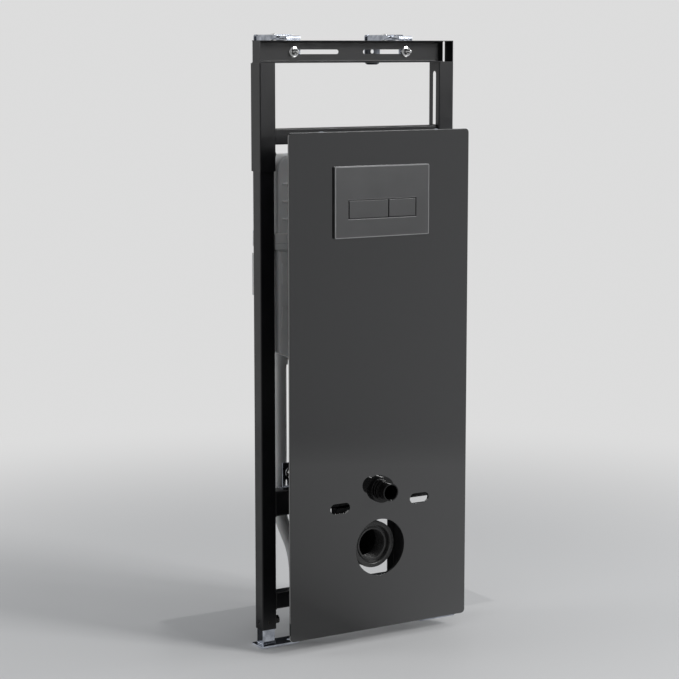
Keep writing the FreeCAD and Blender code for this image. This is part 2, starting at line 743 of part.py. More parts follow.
def frontBracket(side, sign, x, top, boltY):
    relief = railBack + bracketWall + bracketBend * 2
    legLow = sleeveTop + bracketDrop
    inside = railBack + bracketWall
    angle = [
        (railBack, legLow), (inside, legLow), (inside, top - bracketWall), (relief, top - bracketWall),
        (relief, top), (railBack, top),
    ]
    body = profile(f"{side}_bracket_front_angle", "YZ", x, angle)
    rounded(body, f"{side}_bracket_front_inside", bracketBend,
            lambda edge: runs(edge, "x") and near(edge.CenterOfMass.y, inside)
            and near(edge.CenterOfMass.z, top - bracketWall))
    rounded(body, f"{side}_bracket_front_bend", bracketBend + bracketWall,
            lambda edge: runs(edge, "x") and near(edge.CenterOfMass.y, railBack)
            and near(edge.CenterOfMass.z, top))
    tongue = bentChannel(f"{side}_tongue", x, (relief, railBack + bracketReach), top, frontSide)
    middle = bracketX * sign
    slitHigh = top - bracketWall - bracketBend
    cuts = [
        rod(f"{side}_bracket_front_hole", "y", (railBack - 1, inside + 1), railBoltRadius + screwFit,
            x=middle, z=railBoltZ),
        slot(f"{side}_tongue_slot", "z", (top - bracketWall - 1, top + 1), "y",
             (boltY - tongueSlotAhead, boltY + tongueSlotBehind), (railBoltRadius + screwFit) * 2, middle),
        slot(f"{side}_tongue_relief", "x", inset(x, -1), "y", (relief + bracketWall, relief + reliefLength),
             reliefWidth, slitHigh - reliefWidth / 2),
    ]
    whole = join(f"{side}_bracket_front_join", [body, tongue])
    node(f"{side}_bracket_front", carve(f"{side}_bracket_front_cut", whole, cuts))


def rearBracket(side, sign, x, under, boltY):
    outer = (x[0] - bracketWall - slideFit, x[1] + bracketWall + slideFit)
    top = under + bracketWall
    start = front + rearFrom
    relief = wall - rearRelief
    channel = bentChannel(f"{side}_rear_channel", outer, (start, relief), top, rearSide)
    angle = [
        (relief, under), (wall - bracketWall, under), (wall - bracketWall, top - wallPlateHeight),
        (wall, top - wallPlateHeight), (wall, top), (relief, top),
    ]
    plate = profile(f"{side}_wall_plate", "YZ", outer, angle)
    rounded(plate, f"{side}_wall_plate_inside", bracketBend,
            lambda edge: runs(edge, "x") and near(edge.CenterOfMass.y, wall - bracketWall)
            and near(edge.CenterOfMass.z, under))
    rounded(plate, f"{side}_wall_plate_bend", bracketBend + bracketWall,
            lambda edge: runs(edge, "x") and near(edge.CenterOfMass.y, wall)
            and near(edge.CenterOfMass.z, top))
    rounded(plate, f"{side}_wall_plate_corners", wallPlateCorner,
            lambda edge: runs(edge, "y") and near(edge.CenterOfMass.z, top - wallPlateHeight))
    low = top - rearSide
    taper = profile(f"{side}_rear_taper", "YZ", inset(outer, -1), [
        (start - 1, low - 1), (start + rearTaper, low - 1), (start + rearTaper, low),
        (start, top - rearTip - bracketWall), (start - 1, top - rearTip - bracketWall),
    ])
    middle = bracketX * sign
    cuts = [
        taper,
        rod(f"{side}_wall_hole", "y", (wall - bracketWall - 1, wall + 1), wallHoleRadius,
            x=middle, z=railBoltZ),
        rod(f"{side}_channel_hole", "z", (under - 1, top + 1), railBoltRadius + screwFit,
            x=middle, y=boltY),
    ]
    whole = join(f"{side}_bracket_rear_join", [channel, plate])
    node(f"{side}_bracket_rear", carve(f"{side}_bracket_rear_cut", whole, cuts))


def wallBrackets():
    tongueTop = frameTop + bracketRise
    boltY = front + bracketBoltY
    web = railBack - sheetWall
    inside = railBack + bracketWall
    under = tongueTop - bracketWall
    top = tongueTop + bracketWall
    studs = []
    bolts = []
    for side, sign in SIDES:
        middle = bracketX * sign
        x = (middle - bracketWidth / 2, middle + bracketWidth / 2)
        frontBracket(side, sign, x, tongueTop, boltY)
        rearBracket(side, sign, x, tongueTop, boltY)
        studs.append(join(f"{side}_rail_stud", [
            rod(f"{side}_stud", "y", (web - railBoltOut, inside + headThick), railBoltRadius,
                x=middle, z=railBoltZ),
            rod(f"{side}_stud_washer", "y", (web - washerThick, web), washerRadius, x=middle, z=railBoltZ),
            hexagon(f"{side}_stud_nut", "y", (web - washerThick - nutThick, web - washerThick), nutFlats,
                    x=middle, z=railBoltZ),
            hexagon(f"{side}_stud_head", "y", (inside, inside + headThick), nutFlats, x=middle, z=railBoltZ),
        ]))
        bolts.append(join(f"{side}_bracket_bolt", [
            rod(f"{side}_bracket_shank", "z", (under - nutThick - washerThick * 2, top + domeThick / 2),
                railBoltRadius, x=middle, y=boltY),
            rod(f"{side}_bracket_dome", "z", (top, top + domeThick), domeRadius, x=middle, y=boltY),
            rod(f"{side}_bracket_washer", "z", (under - washerThick, under), washerRadius, x=middle, y=boltY),
            hexagon(f"{side}_bracket_nut", "z", (under - washerThick - nutThick, under - washerThick),
                    nutFlats, x=middle, y=boltY),
        ]))
    node("rail_bolts", group("rail_bolts_group", studs))
    node("bracket_bolts", group("bracket_bolts_group", bolts))


# Brackets that stand on the mid beam, each with a bolt


def beamBrackets():
    bolts = []
    face = front + beamBracketY
    for side, sign in SIDES:
        x = span(sign, beamBracketOuter - beamBracketWidth, beamBracketOuter)
        middle = (beamBracketOuter - beamBracketWidth / 2) * sign
        angle = [
            (face, beamTop), (postBack, beamTop), (postBack, beamTop + bracketWall),
            (face + bracketWall, beamTop + bracketWall), (face + bracketWall, beamTop + beamBracketHeight),
            (face, beamTop + beamBracketHeight),
        ]
        body = profile(f"{side}_beam_bracket_body", "YZ", x, angle)
        height = beamTop + beamBoltZ
        cuts = [rod(f"{side}_beam_bracket_hole", "y", (face - 1, face + bracketWall + 1),
                    railBoltRadius + screwFit, x=middle, z=height)]
        for place, offset in (("inner", -1), ("outer", 1)):
            cuts.append(slot(f"{side}_{place}_bracket_slot", "y", (face - 1, face + bracketWall + 1), "z",
                             (beamTop + bracketWall * 2, beamTop + bracketWall * 2 + beamBracketSlotHeight),
                             beamBracketSlot, middle + beamBracketWidth / 4 * offset))
        node(f"{side}_beam_bracket", carve(f"{side}_beam_bracket_cut", body, cuts))
        bolts.append(join(f"{side}_beam_bolt", [
            rod(f"{side}_beam_bolt_shank", "y", (face - beamBoltOut, face + bracketWall + headThick),
                railBoltRadius, x=middle, z=height),
            rod(f"{side}_beam_bolt_washer", "y", (face - washerThick, face), washerRadius,
                x=middle, z=height),
            hexagon(f"{side}_beam_bolt_nut", "y", (face - washerThick - nutThick, face - washerThick),
                    nutFlats, x=middle, z=height),
            hexagon(f"{side}_beam_bolt_head", "y", (face + bracketWall, face + bracketWall + headThick),
                    nutFlats, x=middle, z=height),
        ]))
    node("beam_bolts", group("beam_bolts_group", bolts))


# Cistern: an upper shell and a lower shell that meet in a band, on clips at the posts


def cistern():
    hood = profile("cistern_hood", "XZ", (tankFront, tankBack),
                   rectangle((-hoodHalf, hoodHalf), (bandTop, hoodTop)))
    rounded(hood, "hood_corners", hoodCorner,
            lambda edge: runs(edge, "y") and near(edge.CenterOfMass.z, hoodTop))
    rounded(hood, "hood_front", hoodRound,
            lambda edge: near(edge.BoundBox.YMax, tankFront) and not near(edge.CenterOfMass.z, bandTop))
    bandY = (tankFront - bandProud, tankBack + bandBack)
    band = block("cistern_upper_band", (-bandHalf, bandHalf), bandY, (bandJoin, bandTop))
    ribs = []
    for index, level in enumerate(("top", "mid", "low")):
        height = hoodTop - ribDown - ribPitch * index
        for side, sign in SIDES:
            x = span(sign, hoodHalf - tankRound - ribLength, hoodHalf - tankRound)
            ribs.append(block(f"{side}_{level}_rib", x, (tankFront - ribProud, tankFront + ribProud),
                              (height, height + ribHeight)))
    node("cistern_lid", join("cistern_lid_join", [hood, band] + ribs))

    tank = [
        (-tankHalf, bandBottom), (-tankHalf, tankSide), (0, tankSide - tankDrop), (tankHalf, tankSide),
        (tankHalf, bandBottom),
    ]
    body = profile("cistern_tank", "XZ", (tankFront, tankBack), tank)
    rounded(body, "tank_corners", tankRound, lambda edge: runs(edge, "z"))
    parts = [body, block("cistern_lower_band", (-bandHalf, bandHalf), bandY, (bandBottom, bandJoin))]
    veeEnd = tankHalf - tankRound
    for index, title in enumerate(("upper", "lower")):
        high = bandBottom - veeDown - veePitch * index
        low = high - veeHeight
        vee = [
            (-veeEnd, high), (-veeEnd, low), (0, low - tankDrop), (veeEnd, low), (veeEnd, high),
            (0, high - tankDrop),
        ]
        parts.append(profile(f"cistern_{title}_vee", "XZ", (tankFront - ribProud, tankFront + ribProud), vee))
    for side, sign in SIDES:
        parts.append(block(f"{side}_cistern_boss", span(sign, tankHalf - tankRound, bossHalf),
                           (tankBack + bandBack - bossDepth, tankBack + bandBack), (bossBottom, bossTop)))
    outletY = (tankFront + tankBack) / 2
    outletTop = tankSide - tankDrop + outletRadius
    parts.append(rod("cistern_outlet", "z", (tankSide - tankDrop - outletLength, outletTop), outletRadius,
                     x=0, y=outletY))
    socketLow = tankSide - socketBottom
    socketBore = conduitRadius + panelFit
    parts.append(rod("conduit_socket", "z", (socketLow, tankSide), socketBore + socketWall,
                     x=-conduitX, y=sleeveBack + conduitBehind))
    grooves = [
        block("cistern_groove", (-bandHalf - 1, bandHalf + 1),
              (tankFront - bandProud - 1, tankFront + bandProud), (bandBottom - grooveHeight, bandBottom)),
        rod("cistern_outlet_bore", "z", (tankSide - tankDrop - outletLength - 1, outletTop - outletRadius),
            bendPipeRadius + panelFit, x=0, y=outletY),
        rod("conduit_socket_bore", "z", (socketLow - 1, socketLow + socketDepth), socketBore,
            x=-conduitX, y=sleeveBack + conduitBehind),
    ]
    node("cistern_body", carve("cistern_body_cut", join("cistern_body_join", parts), grooves))

    for side, sign in SIDES:
        y = (middleY, postBack)
        shelf = block(f"{side}_clip_shelf", span(sign, tankHalf + panelFit, postInner), y,
                      (bandBottom - bracketWall, bandBottom))
        tab = block(f"{side}_clip_tab", span(sign, postInner - bracketWall, postInner), y,
                    (bandBottom - sleeveWidth, bandBottom))
        node(f"{side}_cistern_clip", join(f"{side}_cistern_clip_join", [shelf, tab]))

    shaftZ = (stripZ - shaftHigh / 2 - shaftWall, stripZ + shaftHigh / 2 + shaftWall)
    shaftX = (-shaftHalf - shaftWall, shaftHalf + shaftWall)
    node("service_shaft", profile("service_shaft_body", "XZ", (panelBack, tankFront - ribProud - panelFit),
                                  rectangle(shaftX, shaftZ),
                                  rectangle(inset(shaftX, shaftWall), inset(shaftZ, shaftWall))))


# Pipes


def waterAndWaste():
    outletY = (tankFront + tankBack) / 2
    fallTop = tankSide - tankDrop - screwFit
    solids = []
    for title, radius in (("outside", bendPipeRadius), ("bore", bendPipeRadius - flushWall)):
        ring = doc.addObject("Part::Torus", f"flush_{title}_bend")
        ring.Placement = FreeCAD.Placement(V(), FreeCAD.Rotation(V(0, 0, -1), V(0, 1, 0), V(1, 0, 0), "XYZ"))
        bind(ring, {"Radius1": bendRadius, "Radius2": radius, "Placement.Base.y": outletY - bendRadius,
                    "Placement.Base.z": flushZ + bendRadius})
        ring.Angle3 = 90
        solids.append(join(f"flush_{title}", [
            rod(f"flush_{title}_fall", "z", (flushZ + bendRadius, fallTop), radius, x=0, y=outletY),
            ring,
            rod(f"flush_{title}_run", "y", (panelBack + collarThick, outletY - bendRadius), radius,
                x=0, z=flushZ),
        ]))
    node("flush_bend", carve("flush_bend_cut", solids[0], [solids[1]]))

    connector = [
        (panelFace - flushOut, flushRadius - flushWall), (panelFace - flushOut, flushRadius),
        (panelFace - collarThick - neckLength, flushRadius),
        (panelFace - collarThick - neckLength, neckRadius),
        (panelFace - collarThick, neckRadius), (panelFace - collarThick, collarRadius),
        (panelBack + collarThick, collarRadius), (panelBack + collarThick, flushRadius - flushWall),
    ]
    node("flush_connector", turned("flush_connector_body", flushZ, connector))

    downY = front + elbowY
    gasketFace = panelFace + gasketBack
    solids = []
    for title, radius in (("outside", elbowRadius), ("bore", elbowRadius - elbowWall)):
        ring = doc.addObject("Part::Torus", f"elbow_{title}_bend")
        ring.Placement = FreeCAD.Placement(V(), FreeCAD.Rotation(V(0, 0, 1), V(0, 1, 0), V(-1, 0, 0), "XYZ"))
        bind(ring, {"Radius1": elbowBend, "Radius2": radius, "Placement.Base.y": downY - elbowBend,
                    "Placement.Base.z": wasteZ - elbowBend})
        ring.Angle3 = 90
        solids.append(join(f"elbow_{title}", [
            rod(f"elbow_{title}_run", "y", (gasketFace + gasketLength, downY - elbowBend), radius,
                x=0, z=wasteZ),
            ring,
            rod(f"elbow_{title}_fall", "z", (elbowBottom, wasteZ - elbowBend), radius, x=0, y=downY),
        ]))
    node("waste_elbow", carve("waste_elbow_cut", solids[0], [solids[1]]))

    stepFloor = gasketFace + gasketStepDepth
    boreStart = stepFloor - gasketLip
    boreEnd = boreStart + gasketBoreLength
    gasket = [
        (gasketFace, gasketStep), (gasketFace, gasketRadius), (gasketFace + gasketLength, gasketRadius),
        (gasketFace + gasketLength, gasketStep), (boreEnd, gasketStep), (boreEnd, gasketBore),
        (boreStart, gasketBore), (boreStart, gasketBore + gasketLipWall),
        (stepFloor, gasketBore + gasketLipWall), (stepFloor, gasketStep),
    ]
    body = turned("waste_gasket_body", wasteZ, gasket)
    rounded(body, "waste_gasket_rim", gasketRound, lambda edge: near(edge.BoundBox.YMax, gasketFace))
    node("waste_gasket", body)

    saddleY = (gasketFace + gasketLength + panelFit, gasketFace + gasketLength + saddleDepth)
    hole = elbowRadius + panelFit
    ringOut = rod("saddle_ring", "y", saddleY, elbowRadius + saddleWall, x=0, z=wasteZ)
    neck = block("saddle_neck", (-saddleHalf, saddleHalf), saddleY, (beamBottom - saddleDrop, beamBottom))
    bore = rod("saddle_bore", "y", inset(saddleY, -1), hole, x=0, z=wasteZ)
    node("waste_clamp", carve("waste_clamp_cut", join("waste_clamp_join", [ringOut, neck]), [bore]))


# Conduit that comes down beside the cistern's outlet, behind the beam and on towards the middle


def bentPath(points):
    """Straight runs joined by tangent arcs, each of which takes a share of the shorter run beside it."""
    share = 0.45
    edges = []
    last = points[0]
    for before, corner, after in zip(points, points[1:], points[2:]):
        into = (corner - before).normalize()
        out = (after - corner).normalize()
        turn = into.getAngle(out)
        reach = share * min((corner - before).Length, (after - corner).Length)
        enter = corner - into * reach
        leave = corner + out * reach
        towards = (out - into).normalize()
        radius = reach / math.tan(turn / 2)
        middle = corner + towards * (radius / math.cos(turn / 2) - radius)
        edges.append(Part.LineSegment(last, enter).toShape())
        edges.append(Part.Arc(enter, middle, leave).toShape())
        last = leave
    edges.append(Part.LineSegment(last, points[-1]).toShape())
    return Part.Wire(edges)


def conduit():
    y = sleeveBack + conduitBehind
    route = (
        (conduitX, y, tankSide - socketBottom + socketDepth - panelFit),
        (conduitX, y, conduitFallEnd),
        (conduitBendX, y + conduitBendBack, conduitBendZ),
        (conduitLowX, y + conduitLowBack, conduitLowZ),
        (conduitEndX, y + conduitLowBack, conduitEndZ),
    )
    points = [V(-across.value, back.value, height.value) for across, back, height in route]
    path = bentPath(points)
    rings = []
    for radius in (conduitRadius, conduitRadius - conduitWall):
        ring = Part.Wire([Part.Circle(points[0], points[1] - points[0], radius.value).toShape()])
        rings.append(path.makePipeShell([ring], True, True))
    made = doc.addObject("Part::Feature", "conduit_tube")
    made.Shape = rings[0].cut(rings[1])
    node("conduit", made)


# Glass panel, its stand-offs and the flush plate


def panel():
    reach = panelWidth / 2
    sheetBody = profile("glass_panel_body", "XZ", (panelFace, panelBack),
                        rectangle((-reach, reach), (panelBottom, panelTop)))
    rounded(sheetBody, "glass_corners", panelCorner, lambda edge: runs(edge, "y"))
    bevelled(sheetBody, "glass_arris", panelArris, lambda edge: near(edge.BoundBox.YMax, panelFace))
    through = (panelFace - 1, panelBack + 1)
    cuts = [
        rod("glass_waste_hole", "y", through, wasteHoleRadius, x=0, z=wasteZ),
        rod("glass_flush_hole", "y", through, collarRadius + panelFit, x=0, z=flushZ),
        block("glass_service_hole", (-shaftHalf, shaftHalf), through,
              (stripZ - shaftHigh / 2, stripZ + shaftHigh / 2)),
    ]
    for side, sign in SIDES:
        cuts.append(slot(f"{side}_glass_slot", "y", through, "x",
                         (slotX * sign - slotLength / 2, slotX * sign + slotLength / 2), slotWidth, toiletZ))
    node("glass_panel", carve("glass_panel_cut", sheetBody, cuts))

    upperY = front + upperBarInset
    for side, sign in SIDES:
        parts = []
        for level, z, back in (("upper", upperBarBottom + upperBarHeight / 4, upperY),
                               ("lower", (lowerBarBottom + lowerBarTop) / 2, postFront)):
            stem = rod(f"{side}_{level}_stem", "y", (panelBack, back), standoffRadius,
                       x=standoffX * sign, z=z)
            pad = rod(f"{side}_{level}_pad", "y", (panelBack, panelBack + padThick), padRadius,
                      x=standoffX * sign, z=z)
            parts.append(join(f"{side}_{level}_standoff", [stem, pad]))
        node(f"{side}_standoffs", group(f"{side}_standoffs_group", parts))


def flushPlate():
    plateFace = panelFace - plateThick
    stripLow = stripZ - stripHeight / 2
    stripHigh = stripZ + stripHeight / 2
    width = plateWidth / 2
    high = plateHeight / 2
    body = profile("flush_plate_body", "XZ", (plateFace, panelFace),
                   rectangle((-width, width), (plateZ - high, plateZ + high)),
                   rectangle((-stripHalf - buttonGap, stripHalf + buttonGap),
                             (stripLow - buttonGap, stripHigh + buttonGap)))
    rounded(body, "flush_plate_corners", plateCorner,
            lambda edge: runs(edge, "y") and near(abs(edge.CenterOfMass.x), width))
    bevelled(body, "flush_plate_arris", plateArris, lambda edge: near(edge.BoundBox.YMax, plateFace))
    node("flush_plate", body)

    # The carrier stands in the panel's opening on spacers and guides the buttons' rods
    carrierFront = plateFace + buttonThick + buttonTravel + carrierGap
    carrierX = (-shaftHalf + panelFit, shaftHalf - panelFit)
    carrierZ = (stripZ - shaftHigh / 2 + panelFit, stripZ + shaftHigh / 2 - panelFit)
    parts = [block("carrier_board", carrierX, (carrierFront, carrierFront + carrierThick), carrierZ)]
    for side, sign in SIDES:
        for level, z in (("low", carrierZ[0] + spacerRadius), ("high", carrierZ[1] - spacerRadius)):
            parts.append(rod(f"{side}_{level}_spacer", "y", (panelFace, carrierFront + 1), spacerRadius,
                             x=(shaftHalf - panelFit - spacerRadius) * sign, z=z))
    buttons = (("large_button", (-stripHalf, stripSplit - buttonGap / 2)),
               ("small_button", (stripSplit + buttonGap / 2, stripHalf)))
    holes = []
    rodEnd = tankFront - buttonTravel - rodClear
    for name, x in buttons:
        middle = (x[0] + x[1]) / 2
        quarter = (x[1] - x[0]) / 4
        cap = profile(name + "_cap", "XZ", (plateFace, plateFace + buttonThick),
                      rectangle(x, (stripLow, stripHigh)))
        bevelled(cap, name + "_arris", buttonArris, lambda edge: near(edge.BoundBox.YMax, plateFace))
        rods = []
        for place, centre in (("first", middle - quarter), ("second", middle + quarter)):
            rods.append(rod(f"{name}_{place}_rod", "y", (plateFace + buttonThick, rodEnd), rodRadius,
                            x=centre, z=stripZ))
            holes.append(rod(f"{name}_{place}_guide", "y",
                             (carrierFront - 1, carrierFront + carrierThick + 1), rodRadius + rodFit,
                             x=centre, z=stripZ))
        node(name, join(name + "_join", [cap] + rods))
    node("button_carrier", carve("button_carrier_cut", join("button_carrier_join", parts), holes))


for side, sign in SIDES:
    uprights(side, sign)
clampScrews()
sleeveBolts()
topRail()
crossbars()
wallBrackets()
beamBrackets()
cistern()
waterAndWaste()
conduit()
panel()
flushPlate()
doc.recompute()

# Every object must have computed, and every piece must be a valid solid, before anything is written
failed = [made.Label for made in doc.Objects if "Invalid" in made.State or "Error" in made.State]
if failed:
    raise SystemExit(f"objects failed: {failed}")
for made in nodes:
    if made.Shape.isNull() or not made.Shape.isValid() or not made.Shape.Solids:
        raise SystemExit(f"{made.Label} is not a valid solid")
os.makedirs("parts", exist_ok=True)
for made in nodes:
    made.Shape.exportStep(f"parts/{made.Label}.step")
    print(f"{made.Label}: {len(made.Shape.Solids)} solid, {made.Shape.Volume / 1000:.1f} cm3")
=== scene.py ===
import bpy
import bmesh
import json
import math
from mathutils import Matrix, Vector

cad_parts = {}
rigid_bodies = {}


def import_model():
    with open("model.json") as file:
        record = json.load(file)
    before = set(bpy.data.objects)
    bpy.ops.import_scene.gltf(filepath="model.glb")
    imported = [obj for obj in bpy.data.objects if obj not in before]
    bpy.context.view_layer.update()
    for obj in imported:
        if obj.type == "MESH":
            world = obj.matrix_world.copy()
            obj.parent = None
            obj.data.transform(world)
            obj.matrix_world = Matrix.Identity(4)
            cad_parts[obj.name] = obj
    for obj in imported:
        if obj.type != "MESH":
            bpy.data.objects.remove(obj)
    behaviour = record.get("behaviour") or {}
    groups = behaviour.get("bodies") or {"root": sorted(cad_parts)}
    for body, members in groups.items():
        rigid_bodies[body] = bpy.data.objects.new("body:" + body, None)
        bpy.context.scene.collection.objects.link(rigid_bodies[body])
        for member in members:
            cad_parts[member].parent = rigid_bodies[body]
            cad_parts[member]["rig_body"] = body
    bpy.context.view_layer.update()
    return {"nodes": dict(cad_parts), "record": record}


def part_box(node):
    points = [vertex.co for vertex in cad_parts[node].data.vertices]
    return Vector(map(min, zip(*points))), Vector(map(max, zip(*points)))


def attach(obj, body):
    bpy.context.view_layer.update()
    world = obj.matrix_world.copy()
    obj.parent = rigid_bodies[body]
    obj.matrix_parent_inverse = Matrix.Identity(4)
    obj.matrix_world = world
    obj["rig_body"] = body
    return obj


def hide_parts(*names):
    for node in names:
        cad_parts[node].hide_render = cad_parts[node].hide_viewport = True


# Wall hung toilet frame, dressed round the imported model. Metres, front is -Y, wall side is +Y.

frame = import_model()
nodes = frame["nodes"]
record = frame["record"]
sides = ("left", "right")
print("frame loaded:", len(nodes), "nodes")


def nodeSlot(name):
    for row in record["subparts"]:
        if row["node"] == name:
            return row["material_slot"]
    return None


def nodeBody(name):
    return nodes[name]["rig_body"]


# Shader building blocks


def feed(tree, socket, value):
    # links a socket to another node's, or sets its value; a colour is three numbers
    if isinstance(value, bpy.types.NodeSocket):
        tree.links.new(value, socket)
    elif socket.type == "RGBA":
        socket.default_value = (*value, 1)
    else:
        socket.default_value = value


def newFinish(title, sockets):
    made = bpy.data.materials.new(title)
    made.use_nodes = True
    shader = made.node_tree.nodes["Principled BSDF"]
    for socket, value in sockets.items():
        shader.inputs[socket].default_value = value
    return made, made.node_tree, shader


def objectPoint(tree, stretch=(1, 1, 1)):
    place = tree.nodes.new("ShaderNodeTexCoord")
    mapping = tree.nodes.new("ShaderNodeMapping")
    mapping.inputs["Scale"].default_value = stretch
    tree.links.new(place.outputs["Object"], mapping.inputs["Vector"])
    return mapping.outputs["Vector"]


def noise(tree, scale, detail, stretch=(1, 1, 1)):
    made = tree.nodes.new("ShaderNodeTexNoise")
    made.inputs["Scale"].default_value = scale
    made.inputs["Detail"].default_value = detail
    tree.links.new(objectPoint(tree, stretch), made.inputs["Vector"])
    return made.outputs["Fac"]


noiseSpan = (0.3, 0.7)  # a noise keeps mostly between these


def remap(tree, value, low, high, span=noiseSpan):
    made = tree.nodes.new("ShaderNodeMapRange")
    ends = {"From Min": span[0], "From Max": span[1], "To Min": low, "To Max": high}
    for title, end in ends.items():
        made.inputs[title].default_value = end
    tree.links.new(value, made.inputs["Value"])
    return made.outputs["Result"]


mixSockets = {"share": 0, "first": 6, "second": 7, "result": 2}  # a Mix node's, for colours


def blendColours(tree, share, first, second):
    made = tree.nodes.new("ShaderNodeMix")
    made.data_type = "RGBA"
    feed(tree, made.inputs[mixSockets["share"]], share)
    feed(tree, made.inputs[mixSockets["first"]], first)
    feed(tree, made.inputs[mixSockets["second"]], second)
    return made.outputs[mixSockets["result"]]


def addMath(tree, operation, first, second):
    made = tree.nodes.new("ShaderNodeMath")
    made.operation = operation
    feed(tree, made.inputs[0], first)
    feed(tree, made.inputs[1], second)
    return made.outputs[0]


def addVectorMath(tree, operation, *values):
    made = tree.nodes.new("ShaderNodeVectorMath")
    made.operation = operation
    for socket, value in zip(made.inputs, values):
        feed(tree, socket, value)
    return made.outputs


def tint(tree, shader, value, first, second):
    tree.links.new(blendColours(tree, value, first, second), shader.inputs["Base Color"])


def relief(tree, shader, layers):
    # each layer is a noise, its strength and its depth in metres
    before = None
    for grain, strength, depth in layers:
        made = tree.nodes.new("ShaderNodeBump")
        made.inputs["Strength"].default_value = strength
        made.inputs["Distance"].default_value = depth
        tree.links.new(noise(tree, *grain), made.inputs["Height"])
        if before is not None:
            tree.links.new(before, made.inputs["Normal"])
        before = made.outputs["Normal"]
    tree.links.new(before, shader.inputs["Normal"])


# Finishes of the real materials, then of the glass's polished edge and of painted highlights and painted
# shade: each has a tone that drifts between dark and light, a roughness that drifts between two values,
# and layers of relief, all by noises of the given scale and detail

finishLooks = {
    "powder_coat": {
        "title": "powderCoat", "sockets": {"IOR": 1.4},
        "tone": (9, 4), "dark": (0.003, 0.003, 0.0036), "light": (0.006, 0.006, 0.007),
        "gloss": (40, 5), "roughness": (0.30, 0.40),
        "relief": [((520, 2), 0.35, 0.00006)],
    },
    "zinc": {
        "title": "zincPlate", "sockets": {"Metallic": 1.0},
        "tone": (55, 6), "dark": (0.22, 0.235, 0.27), "light": (0.50, 0.53, 0.59),
        "gloss": (260, 4, (1, 1, 0.18)), "roughness": (0.08, 0.18),
        "relief": [((260, 4, (1, 1, 0.18)), 0.25, 0.00008), ((60, 2), 0.15, 0.0002)],
    },
    "bolt_steel": {
        "title": "boltSteel", "sockets": {"Metallic": 1.0},
        "tone": (420, 3), "dark": (0.80, 0.80, 0.80), "light": (0.96, 0.96, 0.95),
        "gloss": (900, 3), "roughness": (0.04, 0.09),
        "relief": [((1500, 2), 0.2, 0.00003)],
    },
    "black_screw": {
        "title": "blackOxide", "sockets": {"Metallic": 0.6},
        "tone": (300, 4), "dark": (0.012, 0.012, 0.013), "light": (0.05, 0.047, 0.042),
        "gloss": (700, 2), "roughness": (0.25, 0.45),
        "relief": [((1200, 2), 0.2, 0.00003)],
    },
    "pale_plastic": {
        "title": "cisternPlastic",
        "sockets": {"IOR": 1.5, "Subsurface Weight": 0.06, "Subsurface Scale": 0.01},
        "tone": (5, 5), "dark": (0.44, 0.44, 0.44), "light": (0.54, 0.54, 0.535),
        "gloss": (60, 4), "roughness": (0.38, 0.52),
        "relief": [((7, 2), 0.35, 0.004), ((1600, 2), 0.25, 0.00005)],
    },
    "dark_plastic": {
        "title": "pipePlastic", "sockets": {"IOR": 1.5},
        "tone": (30, 4), "dark": (0.012, 0.012, 0.013), "light": (0.022, 0.022, 0.023),
        "gloss": (120, 4), "roughness": (0.28, 0.42),
        "relief": [((35, 2), 0.2, 0.0006), ((1400, 2), 0.2, 0.00003)],
    },
    "gloss_black": {
        "title": "glossBlack", "sockets": {"IOR": 1.42},
        "tone": (50, 3), "dark": (0.001, 0.001, 0.001), "light": (0.003, 0.003, 0.003),
        "gloss": (90, 4), "roughness": (0.03, 0.07),
        "relief": [((45, 2), 0.12, 0.0004)],
    },
    "rubber": {
        "title": "rubberSeal", "sockets": {"IOR": 1.5},
        "tone": (45, 5), "dark": (0.022, 0.022, 0.022), "light": (0.038, 0.038, 0.037),
        "gloss": (200, 3), "roughness": (0.22, 0.38),
        "relief": [((2200, 2), 0.4, 0.00004)],
    },
    "black_glass": {
        "title": "blackGlass", "sockets": {"IOR": 2.0},
        "tone": (3, 3), "dark": (0.0055, 0.0055, 0.0055), "light": (0.0065, 0.0065, 0.0065),
        "gloss": (14, 5), "roughness": (0.02, 0.05),
        "relief": [((2.2, 1), 0.02, 0.002)],
    },
    "satin_black": {
        "title": "satinPlate", "sockets": {"IOR": 1.5, "Metallic": 0.5},
        "tone": (20, 4), "dark": (0.078, 0.078, 0.079), "light": (0.086, 0.086, 0.087),
        "gloss": (30, 3), "roughness": (0.295, 0.305),
        "relief": [((1100, 2), 0.08, 0.00001)],
    },
    "glass_edge": {
        "title": "glassEdge", "sockets": {"IOR": 1.54},
        "tone": (180, 4), "dark": (0.012, 0.014, 0.0135), "light": (0.028, 0.032, 0.031),
        "gloss": (600, 3), "roughness": (0.12, 0.30),
        "relief": [((900, 2, (1, 1, 0.1)), 0.2, 0.00004)],
    },
    # painted highlight: the flush plate's chamfer and a ring round its face, lighter for the light its
    # edge catches
    "plate_rim_highlight": {
        "title": "plateRimHighlight", "sockets": {"IOR": 1.4},
        "tone": (300, 3), "dark": (0.20, 0.20, 0.202), "light": (0.23, 0.23, 0.232),
        "gloss": (800, 3), "roughness": (0.42, 0.48),
        "relief": [((1600, 2), 0.1, 0.00002)],
    },
    "zinc_edge_highlight": {  # painted highlight: the feet's rounded edges made brighter than the plating, for the glint of light along them
        "title": "zincEdgeHighlight", "sockets": {"Metallic": 0.3, "IOR": 1.5},
        "tone": (140, 5), "dark": (0.42, 0.44, 0.48), "light": (0.82, 0.84, 0.88),
        "gloss": (500, 3), "roughness": (0.18, 0.34),
        "relief": [((900, 2), 0.15, 0.00003)],
    },
    "painted_gap_shade": {  # painted shade on the walls of the gaps round the buttons, and on the fine line for the plate's groove
        "title": "paintedGapShade", "sockets": {"IOR": 1.3},
        "tone": (90, 3), "dark": (0.002, 0.002, 0.002), "light": (0.004, 0.004, 0.004),
        "gloss": (300, 2), "roughness": (0.6, 0.8),
        "relief": [((900, 2), 0.1, 0.00002)],
    },
}


